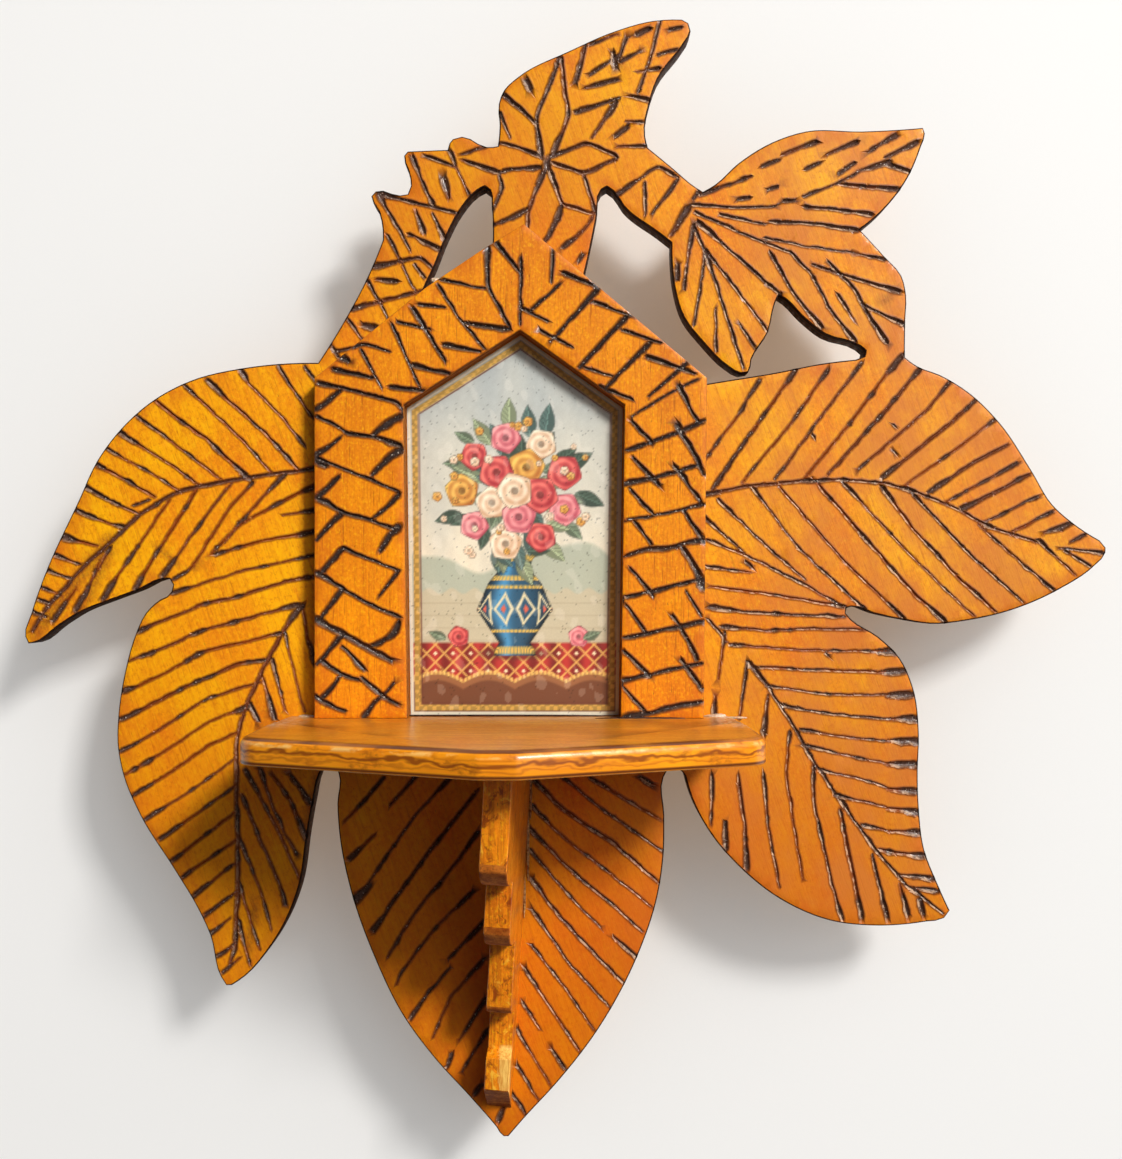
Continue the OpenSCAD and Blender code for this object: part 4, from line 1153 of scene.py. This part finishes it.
class Nodes:
    """The node tree of a material or a world, with short calls for what is used often."""

    def __init__(self, owner):
        self.owner = owner
        owner.use_nodes = True
        self.tree = owner.node_tree

    def add(self, kind, **inputs):
        """A node of the kind, with a value or a link on each input that is named."""
        node = self.tree.nodes.new(kind)
        for key, value in inputs.items():
            self.put(node, key.replace("_", " "), value)
        return node

    def put(self, node, key, value):
        """Links the value to the node's socket if it is an output, or else sets it there."""
        socket = node.inputs[key]
        if isinstance(value, bpy.types.NodeSocket):
            self.tree.links.new(value, socket)
        else:
            socket.default_value = value

    def join(self, kind, *values, **settings):
        """A node of the kind with those settings, and the values on its first sockets."""
        node = self.tree.nodes.new(kind)
        for key, value in settings.items():
            setattr(node, key, value)
        for k, value in enumerate(values):
            self.put(node, k, value)
        return node

    def math(self, how, a, b=0.0):
        return self.join("ShaderNodeMath", a, b, operation=how).outputs[0]

    def mix_shader(self, factor, a, b):
        return self.join("ShaderNodeMixShader", factor, a, b).outputs[0]


class Surface(Nodes):
    """A new material with a Principled shader, and the textures that the materials share."""

    def __init__(self, name):
        super().__init__(bpy.data.materials.new(name))
        self.shader = self.tree.nodes["Principled BSDF"]
        at = self.add("ShaderNodeTexCoord").outputs
        self.place = at["Object"]
        self.normal = at["Normal"]
        self.x, self.y, self.z = self.add("ShaderNodeSeparateXYZ", Vector=self.place).outputs

    def noise(self, across, along, detail, rough, distortion=0.0, turn=0):
        """Noise stretched along the grain: across and along are sizes in millimetres."""
        size = (across * MM, across * MM, along * MM)
        place = self.join("ShaderNodeMapping", self.place, (0, 0, 0), (0, turn, 0), size,
                          vector_type="TEXTURE").outputs[0]
        return self.add("ShaderNodeTexNoise", Vector=place, Scale=1, Detail=detail,
                        Roughness=rough, Distortion=distortion).outputs["Fac"]

    def ramp(self, value, low, high, to_low=0.0, to_high=1.0):
        """The value drawn from between low and high to between to_low and to_high."""
        return self.join("ShaderNodeMapRange", value, low, high, to_low, to_high).outputs[0]

    def window(self, value, low, high, soft):
        """1 between low and high, 0 outside them, with soft edges."""
        return self.math("MULTIPLY", self.ramp(value, low - soft, low + soft),
                         self.ramp(value, high + soft, high - soft))

    def mix(self, factor, a, b):
        """Colour a, with b over it by the factor."""
        node = self.join("ShaderNodeMix", factor, data_type="RGBA")
        self.put(node, COLOUR_A, a)
        self.put(node, COLOUR_B, b)
        return node.outputs[MIXED_COLOUR]

    def attribute(self, name, kind="Fac"):
        return self.join("ShaderNodeAttribute", attribute_name=name).outputs[kind]

    def bump(self, height, distance, strength, **under):
        """The relief's normal. Under it may lie another, given as Normal."""
        return self.add("ShaderNodeBump", Height=height, Distance=distance, Strength=strength,
                        **under).outputs[0]

    def finish(self, colour, roughness, normal, **constants):
        """The material, with these on its shader."""
        self.put(self.shader, "Base Color", colour)
        self.put(self.shader, "Roughness", roughness)
        self.put(self.shader, "Normal", normal)
        for key, value in constants.items():
            self.shader.inputs[key.replace("_", " ")].default_value = value
        return self.owner


def rgb(r, g, b):
    """A display colour, 0 to 255, as the linear colour that a shader takes."""
    def linear(c):
        c /= 255
        return c / 12.92 if c <= 0.04045 else ((c + 0.055) / 1.055) ** 2.4
    return (linear(r), linear(g), linear(b), 1)


def wood_colour(n, turn, pale, deep, vein, grain):
    """Amber ply face with its grain up the piece, turned by turn: its colour, relief and clouds."""
    bands = n.noise(0.9, 16, 4, 0.62, 0.3, turn)
    hairs = n.noise(0.42, 7, 2, 0.5, turn=turn)
    flecks = n.noise(0.4, 1.7, 2, 0.5, turn=turn)
    cloud = n.noise(17, 30, 4, 0.6, turn=turn)
    fine = n.noise(0.7, 0.9, 3, 0.65, turn=turn)
    colour = n.mix(n.ramp(cloud, 0.35, 0.68), rgb(*pale), rgb(*deep))
    colour = n.mix(n.ramp(bands, 0.45, 0.72, 0, 0.5 * grain + 0.1), colour, rgb(*vein))
    colour = n.mix(n.ramp(fine, 0.52, 0.7, 0, 0.5), colour, rgb(255, 196, 14))
    colour = n.mix(n.ramp(fine, 0.46, 0.3, 0, 0.5), colour, rgb(198, 98, 4))
    colour = n.mix(n.ramp(hairs, 0.6, 0.72, 0, 0.5 * grain), colour, rgb(168, 84, 6))
    colour = n.mix(n.ramp(flecks, 0.66, 0.76, 0, 0.6 * grain), colour, rgb(120, 56, 6))
    return colour, n.math("MULTIPLY", n.math("ADD", hairs, flecks), -0.5), cloud


def varnish(n, turn, colour, rough, relief, coat=0.1, coat_rough=0.12):
    """The varnish over a wood: its broad waves and fine relief, and a thin glossy coat."""
    wave = n.noise(4, 8, 2, 0.5, turn=turn)
    normal = n.bump(relief, 0.1 * MM, 0.6, Normal=n.bump(wave, 0.15 * MM, 0.4))
    return n.finish(colour, rough, normal, Coat_Weight=coat, Coat_Roughness=coat_rough,
                    Specular_IOR_Level=0.22)


def varnished_wood(name, turn, pale, deep, grain, glint, ash, aged_and_shaded=False):
    """A burned face. Its lines have cores of the colour ash; its edges and line walls that face the
    light get a painted highlight as strong as glint says.
    An aged and shaded one is darker in places, partly deeper varnish and partly painted shade below
    the shelf, and browner and hazier to the right of the frame, partly painted sheen."""
    n = Surface(name)
    colour, relief, cloud = wood_colour(n, turn, pale, deep, (206, 108, 4), grain)
    patch = n.noise(3.5, 6, 3, 0.6, turn=turn)
    if aged_and_shaded:
        # darker, redder patches: partly deeper varnish, partly painted shade
        for place, reach, share, paint in DEEPER_TONE_AND_SHADE:
            gap = n.join("ShaderNodeVectorMath", n.place, place, operation="DISTANCE")
            colour = n.mix(n.ramp(gap.outputs["Value"], reach, 0.4 * reach, 0, share), colour,
                           rgb(*paint))
        # browner and hazier to the right of the frame: partly the wood's tone, partly painted sheen
        right_tone_and_sheen = n.noise(11, 15, 3, 0.6, turn=turn)
        right = n.math("MULTIPLY", n.ramp(n.x, 20 * MM, 70 * MM),
                       n.ramp(right_tone_and_sheen, 0.36, 0.62, 0.15, 0.75))
        colour = n.mix(right, colour, rgb(206, 116, 44))
    rim = n.math("MULTIPLY", n.attribute("rim"), n.ramp(patch, 0.42, 0.62, 0, 0.65))
    colour = n.mix(rim, colour, rgb(206, 100, 18))
    streak = n.noise(0.6, 0.9, 4, 0.65, turn=turn)
    scorch = n.math("MULTIPLY", n.attribute("scorch"), n.ramp(streak, 0.3, 0.7, 0.3, 1))
    colour = n.mix(scorch, colour, rgb(122, 58, 22))
    # the thin runs are brown, and the heads have a dark rim round a core of ash, whose pale specks
    # are painted glints
    crust = n.math("MULTIPLY", n.ramp(n.attribute("core"), 0.2, 0.5), n.ramp(streak, 0.32, 0.5))
    glint_specks = n.noise(0.5, 0.5, 2, 0.5)
    burn = n.mix(crust, rgb(42, 24, 16), rgb(*ash))
    burn = n.mix(n.math("MULTIPLY", crust, n.ramp(glint_specks, 0.64, 0.7, 0, 0.8)), burn,
                 rgb(230, 214, 198))
    burn = n.mix(n.ramp(n.attribute("black"), 0.25, 0.85), rgb(134, 62, 20), burn)
    cover = n.attribute("cover")
    colour = n.mix(cover, colour, burn)
    # painted highlight, stronger towards the right: pale where an edge or the wall of a burned line
    # faces up to the right, toward the light
    facing = n.join("ShaderNodeVectorMath", n.normal, GLINT_LIGHT_WAY, operation="DOT_PRODUCT")
    painted_glint = n.math("MULTIPLY", n.ramp(facing.outputs["Value"], 0.25, 0.5),
                    n.ramp(n.noise(1.6, 1.6, 3, 0.6), 0.44, 0.6, 0.03, glint))
    painted_glint = n.math("MULTIPLY", painted_glint, n.ramp(n.x, -40 * MM, 50 * MM, 0.4, 1))
    colour = n.mix(painted_glint, colour, rgb(246, 204, 166))
    relief = n.math("ADD", relief, n.math("MULTIPLY", cover, n.math("MULTIPLY", streak, 3)))
    rough = n.math("ADD", n.ramp(cloud, 0.3, 0.7, 0.46, 0.56), n.math("MULTIPLY", cover, -0.3))
    return varnish(n, turn, colour, rough, relief)


def shelf_wood(name, top):
    """The shelf's face, with streaks along it, and the ply's layers round its edges below top."""
    n = Surface(name)
    turn = math.pi / 2
    colour, relief, cloud = wood_colour(n, turn, (236, 156, 46), (216, 128, 28), (150, 78, 16), 0.9)
    wave = n.noise(2.5, 14, 2, 0.5, turn=turn)
    patch = n.noise(9, 22, 2, 0.5, turn=turn)
    drop = n.math("SUBTRACT", top, n.z)
    layer = n.math("ADD", drop, n.ramp(wave, 0.3, 0.7, -0.8 * MM, 0.8 * MM))
    side = n.window(drop, 0.3 * MM, 5.85 * MM, 0.1 * MM)
    colour = n.mix(side, colour, n.mix(n.ramp(cloud, 0.35, 0.65), rgb(250, 158, 20),
                                       rgb(234, 134, 14)))
    for low, high, paint, share in ((2.5, 3.3, (140, 66, 10), 0.9), (3.9, 4.3, (176, 88, 14), 0.7),
                                    (1.2, 1.6, (190, 98, 12), 0.6)):
        band = n.math("MULTIPLY", n.window(layer, low * MM, high * MM, 0.25 * MM), side)
        colour = n.mix(n.math("MULTIPLY", band, share), colour, rgb(*paint))
    stain = n.noise(5, 9, 4, 0.65, turn=turn)
    colour = n.mix(n.math("MULTIPLY", side, n.ramp(stain, 0.56, 0.7, 0, 0.8)), colour,
                   rgb(132, 64, 14))
    # painted highlight along the rounded upper edge of the front
    painted_edge_highlight = n.math("MULTIPLY", n.window(drop, 0.9 * MM, 1.7 * MM, 0.3 * MM),
                  n.ramp(stain, 0.5, 0.4, 0, 0.6))
    colour = n.mix(painted_edge_highlight, colour, rgb(255, 214, 130))
    seam = n.math("MULTIPLY", n.window(drop, 0.05 * MM, 0.75 * MM, 0.12 * MM),
                  n.ramp(patch, 0.35, 0.6, 0.5, 1))
    colour = n.mix(seam, colour, rgb(96, 46, 14))
    # pale wax left in the rear corners
    reach = n.ramp(n.math("ABSOLUTE", n.x), 47 * MM, 53 * MM)
    corner = n.math("MULTIPLY", reach, n.ramp(n.y, -34 * MM, -26 * MM))
    wax = n.noise(1.2, 1.2, 4, 0.7)
    colour = n.mix(n.math("MULTIPLY", corner, n.ramp(wax, 0.46, 0.56, 0, 0.7)), colour,
                   rgb(222, 198, 172))
    # painted shade: a darker band along the lower edge of the front, where it turns under
    colour = n.mix(n.window(drop, 5.2 * MM, 5.85 * MM, 0.2 * MM), colour, rgb(104, 50, 12))
    return varnish(n, turn, colour, n.ramp(cloud, 0.3, 0.7, 0.3, 0.42), relief, 0.5, 0.22)


def bracket_wood(name):
    """Blotchy stained edges, and a raw chip on the foot's right."""
    n = Surface(name)
    colour, relief, cloud = wood_colour(n, 0, (255, 152, 22), (222, 110, 12), (140, 58, 8), 1.2)
    blotch = n.noise(2.6, 3.4, 4, 0.65, 0.9)
    colour = n.mix(n.ramp(blotch, 0.45, 0.34, 0, 0.85), colour, rgb(140, 54, 12))
    colour = n.mix(n.ramp(blotch, 0.58, 0.68, 0, 0.85), colour, rgb(255, 190, 60))
    torn = n.noise(0.5, 4, 3, 0.6)
    edge = n.math("ADD", n.x, n.ramp(torn, 0.3, 0.7, -0.8 * MM, 0.8 * MM))
    chip = n.math("MULTIPLY", n.window(edge, -2.3 * MM, 4 * MM, 0.15 * MM),
                  n.window(n.z, -197 * MM, -183.5 * MM, 0.3 * MM))
    chip = n.math("MULTIPLY", chip, n.ramp(n.y, -13.6 * MM, -14.2 * MM))
    raw = n.mix(n.ramp(torn, 0.35, 0.65), rgb(255, 206, 108), rgb(222, 150, 62))
    colour = n.mix(chip, colour, raw)
    lumpy = n.math("ADD", relief, n.math("MULTIPLY", blotch, 3))
    return varnish(n, 0, colour, n.ramp(cloud, 0.3, 0.7, 0.26, 0.38), lumpy, 0.5, 0.15)


def ply_edge(name, dark, light):
    """Sawn, stained edge of the ply: thin dark layers across the board's thickness."""
    n = Surface(name)
    layer = n.math("SINE", n.math("MULTIPLY", n.y, 2 * math.pi / (2.4 * MM)))
    saw = n.noise(0.8, 0.8, 4, 0.7)
    tone = n.math("ADD", n.math("MULTIPLY", layer, 0.2), saw)
    colour = n.mix(n.ramp(tone, 0.3, 0.85), rgb(*dark), rgb(*light))
    normal = n.bump(tone, 0.15 * MM, 0.6)
    return n.finish(colour, n.ramp(saw, 0.3, 0.7, 0.6, 0.8), normal, Specular_IOR_Level=0.1)


def end_grain_and_shade(name):
    """The ends of the bracket's steps, where they face down: stain soaked into the end grain, and
    darker as painted shade.
    """
    n = Surface(name)
    grain = n.noise(0.5, 0.5, 4, 0.7)
    soaked = n.noise(2.2, 2.2, 3, 0.5)
    colour = n.mix(n.ramp(soaked, 0.35, 0.65), rgb(150, 70, 20), rgb(206, 116, 40))
    colour = n.mix(n.ramp(grain, 0.5, 0.7, 0, 0.7), colour, rgb(84, 38, 14))
    return n.finish(colour, n.ramp(grain, 0.3, 0.7, 0.55, 0.75), n.bump(grain, 0.1 * MM, 0.5),
                    Specular_IOR_Level=0.08)


def bare_back(name):
    """Unvarnished ply on the wall side, with stain that ran round the edge."""
    n = Surface(name)
    grain = n.noise(1.0, 22, 4, 0.6, 0.4)
    cloud = n.noise(30, 50, 3, 0.5)
    pores = n.noise(0.3, 3, 2, 0.5)
    colour = n.mix(n.ramp(cloud, 0.35, 0.7), rgb(214, 176, 124), rgb(188, 140, 86))
    colour = n.mix(n.ramp(grain, 0.45, 0.7, 0, 0.5), colour, rgb(168, 120, 70))
    colour = n.mix(n.ramp(pores, 0.62, 0.75, 0, 0.5), colour, rgb(110, 72, 38))
    return n.finish(colour, n.ramp(grain, 0.3, 0.7, 0.62, 0.8),
                    n.bump(n.math("ADD", grain, pores), 0.1 * MM, 0.6))


def nail_steel(name):
    """Bright wire with a little rust."""
    n = Surface(name)
    ring = n.noise(0.15, 0.15, 3, 0.6)
    rust = n.noise(1.1, 1.1, 4, 0.6)
    colour = n.mix(n.ramp(rust, 0.52, 0.7, 0, 0.6), rgb(150, 150, 152), rgb(110, 78, 56))
    return n.finish(colour, n.ramp(ring, 0.3, 0.7, 0.3, 0.5), n.bump(ring, 0.03 * MM, 0.5),
                    Metallic=1.0)


def card_print(name):
    """The card's painted colours, on paper with a worn and slightly waved gloss."""
    n = Surface(name)
    painted = n.attribute("print", "Color")
    paper = n.noise(0.25, 0.25, 3, 0.6)
    wave = n.noise(9, 14, 2, 0.5)
    colour = n.mix(n.ramp(paper, 0.35, 0.65, 0.1, 0), painted, rgb(120, 104, 88))
    normal = n.bump(paper, 0.03 * MM, 0.4, Normal=n.bump(wave, 0.2 * MM, 0.3))
    return n.finish(colour, n.ramp(wave, 0.3, 0.7, 0.38, 0.5), normal, Specular_IOR_Level=0.35)


def lump(name, place, size):
    """A squashed, uneven blob with half sizes in millimetres: a dried drop of glue, and also a dark
    strip of painted shadow in a gap.
    """
    bm = bmesh.new()
    bmesh.ops.create_icosphere(bm, subdivisions=4, radius=1)
    bumps = [(Vector(rng.normal(0, 1, 3)).normalized(), rng.uniform(-0.3, 0.45))
             for _ in range(9)]
    for v in bm.verts:
        grow = 1 + sum(h * max(0, v.co.dot(d)) ** 6 for d, h in bumps)
        v.co = v.co * Vector(size) * grow * MM
    mesh = bpy.data.meshes.new(name)
    bm.to_mesh(mesh)
    bm.free()
    obj = in_scene(name, mesh)
    obj.location = Vector(place) * MM
    shade(obj, 60)
    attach(obj, "root")
    return obj


def dried_glue_and_gap_shade(name, low, high):
    """Hazy glue in two tones; in near black, the painted shadow in a gap."""
    n = Surface(name)
    haze = n.noise(0.7, 0.7, 4, 0.6)
    colour = n.mix(n.ramp(haze, 0.35, 0.65), rgb(*low), rgb(*high))
    return n.finish(colour, n.ramp(haze, 0.3, 0.7, 0.25, 0.45), n.bump(haze, 0.15 * MM, 0.5),
                    Subsurface_Weight=0.3, Subsurface_Scale=MM)


def dress():
    """Every piece of the part, with its materials."""
    board_burns = Burns(BOARD_GROUPS, BOARD_SMEARS)
    frame_burns = Burns(FRAME_GROUPS, [])
    board = carved_board("leaf_spray_board", "back_board", board_burns, 0.8, True)
    arch = carved_board("carved_arch_frame", "arch_frame", frame_burns, 0.25, False)
    back = bare_back("board_back")
    board_face = varnished_wood("board_face", -0.33, (255, 177, 2), (238, 130, 4), grain=0.7,
                                glint=0.55, ash=(94, 68, 58), aged_and_shaded=True)
    board_edge = ply_edge("board_edge", (24, 12, 6), (84, 42, 14))
    frame_face = varnished_wood("frame_face", 0, (248, 152, 4), (222, 122, 4), grain=1.2,
                                glint=0.18, ash=(60, 48, 44))
    frame_edge = ply_edge("frame_edge", (96, 48, 14), (206, 128, 44))
    for obj, face, edge, slot in ((board, board_face, board_edge, "board_ply"),
                                  (arch, frame_face, frame_edge, "frame_ply")):
        for material in (face, edge, back):
            obj.data.materials.append(material)
    shelf = eased_piece("shelf_board", "shelf", 2.2, 0.9)
    bracket = eased_piece("stepped_bracket", "bracket", 0.3, 0.6)
    for obj, material, slot in ((shelf, shelf_wood("shelf_wood", SHELF_TOP * MM), "shelf_ply"),
                                (bracket, bracket_wood("bracket_wood"), "bracket_ply")):
        obj.data.materials.clear()
        obj.data.materials.append(material)
    # the ends that face down come after the wood, darker as stain and as painted shade
    bracket.data.materials.append(end_grain_and_shade("bracket_ends_shaded"))
    for face in bracket.data.polygons:
        if face.normal.z < -0.25:
            face.material_index = 1
    picture_card()
    steel = nail_steel("nail_wire")
    for node in ("frame_nails", "shelf_nails", "bracket_nails"):
        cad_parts[node].data.materials.clear()
        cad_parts[node].data.materials.append(steel)
    # clear glue, glue that took the stain, and dark strips along the foot of the card and frame
    # that are painted shadow in the gaps there
    glue = dried_glue_and_gap_shade("glue", (184, 146, 106), (226, 208, 186))
    stained = dried_glue_and_gap_shade("stained_glue", (126, 74, 30), (216, 168, 110))
    gap = dried_glue_and_gap_shade("painted_gap_shadow", (18, 9, 5), (64, 26, 12))
    foot = SHELF_TOP + 0.05
    for name, material, place, size in (
            ("glue_dab", glue, (-18.4, BOARD_FACE - 0.5, 4.4), (1.3, 0.9, 1.1)),
            ("glue_corner_right", glue, (51.2, BOARD_FACE - 1.2, foot), (2.6, 1.1, 0.5)),
            ("glue_corner_left", glue, (-50.6, BOARD_FACE - 1.2, foot), (2.0, 0.9, 0.4)),
            ("glue_smear_right", glue, (56.5, BOARD_FACE - 3.2, SHELF_TOP - 0.1), (2.4, 1.2, 0.3)),
            ("bracket_glue_high", stained, (5.1, BOARD_FACE - 0.3, -121), (0.45, 0.9, 9)),
            ("bracket_glue_middle", stained, (4.4, BOARD_FACE - 0.3, -135), (0.4, 0.7, 9)),
            ("bracket_glue_low", stained, (3.6, BOARD_FACE - 0.2, -148), (0.35, 0.5, 7)),
            ("card_gap_shadow", gap, (1.2, BOARD_FACE - 0.9, foot), (25.5, 0.5, 0.4)),
            ("rail_gap_shadow", gap, (32.4, FRAME_FACE, foot), (11, 0.25, 0.3))):
        drop = lump(name, place, size)
        drop.data.materials.append(material)


# The studio, in metres: the middle of the piece, the wall's place and half size, the reach that
# tells open wall from shadow, its lift, and the sky's strength where it is seen and as a light
MIDDLE = Vector((0.01, 0, -0.07))
WALL_Y = 0.021
WALL_HALF = 2.0
OPEN_REACH = 0.09
LIFT = 0.42
SEEN_SKY = 0.79
DIM_SKY = 0.08


def make_light(name, place, size, watts, colour=(1, 1, 1)):
    """A square area lamp that looks at the middle of the piece."""
    data = bpy.data.lights.new(name, "AREA")
    data.size = size
    data.energy = watts
    data.color = colour
    lamp = in_scene(name, data)
    lamp.location = place
    lamp.rotation_euler = (MIDDLE - Vector(place)).to_track_quat("-Z", "Y").to_euler()
    lamp.visible_camera = False


def pale_world():
    """Pale where it is seen, also in the metal of the back, and dim as a light."""
    world = bpy.data.worlds.new("pale")
    n = Nodes(world)
    sky = n.tree.nodes["Background"]
    sky.inputs["Color"].default_value = (0.97, 0.98, 1, 1)
    path = n.add("ShaderNodeLightPath").outputs
    way = n.add("ShaderNodeTexCoord").outputs["Generated"]
    behind = n.math("GREATER_THAN", n.add("ShaderNodeSeparateXYZ", Vector=way).outputs["Y"])
    seen = n.math("MAXIMUM", path["Is Camera Ray"], path["Is Transmission Ray"])
    seen = n.math("MAXIMUM", seen, n.math("MULTIPLY", path["Is Glossy Ray"], behind))
    n.put(sky, "Strength", n.math("ADD", n.math("MULTIPLY", seen, SEEN_SKY), DIM_SKY))
    bpy.context.scene.world = world


def wall_paint():
    """Lifted for the camera where the wall is open, so that shadows stay soft and pale.

    It is clear from behind, and to the shadow rays of the lamp behind it."""
    n = Nodes(bpy.data.materials.new("wall"))
    n.tree.nodes.clear()
    path = n.add("ShaderNodeLightPath").outputs
    plaster = n.add("ShaderNodeBsdfDiffuse", Color=(0.9, 0.892, 0.876, 1))
    open_wall = n.add("ShaderNodeAmbientOcclusion", Distance=OPEN_REACH).outputs["AO"]
    glow = n.add("ShaderNodeEmission", Color=(0.92, 0.91, 0.892, 1), Strength=open_wall)
    lift = n.math("MULTIPLY", path["Is Camera Ray"], LIFT)
    front = n.mix_shader(lift, plaster.outputs[0], glow.outputs[0])
    backfacing = n.add("ShaderNodeNewGeometry").outputs["Backfacing"]
    unseen = n.math("MAXIMUM", backfacing, path["Is Shadow Ray"])
    clear = n.add("ShaderNodeBsdfTransparent").outputs[0]
    n.add("ShaderNodeOutputMaterial", Surface=n.mix_shader(unseen, front, clear))
    return n.owner


def studio():
    """A pale wall behind the piece, seen only from its front, a key light and soft fill."""
    key_place = MIDDLE + 2.4 * Vector((0.72, -1.0, 0.74)).normalized()
    warm = (1, 0.985, 0.96)
    make_light("key", key_place, 0.45, 61, warm)
    make_light("broad_key", key_place, 1.8, 18, warm)
    make_light("fill", (0.45, -0.9, 0.0), 0.5, 0.5, (0.97, 0.98, 1))
    make_light("back", (0.3, 0.9, 0.4), 1.0, 9)
    pale_world()
    mesh = bpy.data.meshes.new("wall")
    corners = ((-1, -1), (1, -1), (1, 1), (-1, 1))
    mesh.from_pydata([(WALL_HALF * x, WALL_Y, WALL_HALF * z) for x, z in corners],
                     [], [(0, 1, 2, 3)])
    mesh.materials.append(wall_paint())
    wall = in_scene("wall", mesh)
    bpy.context.scene.view_settings.view_transform = "Standard"


dress()
studio()
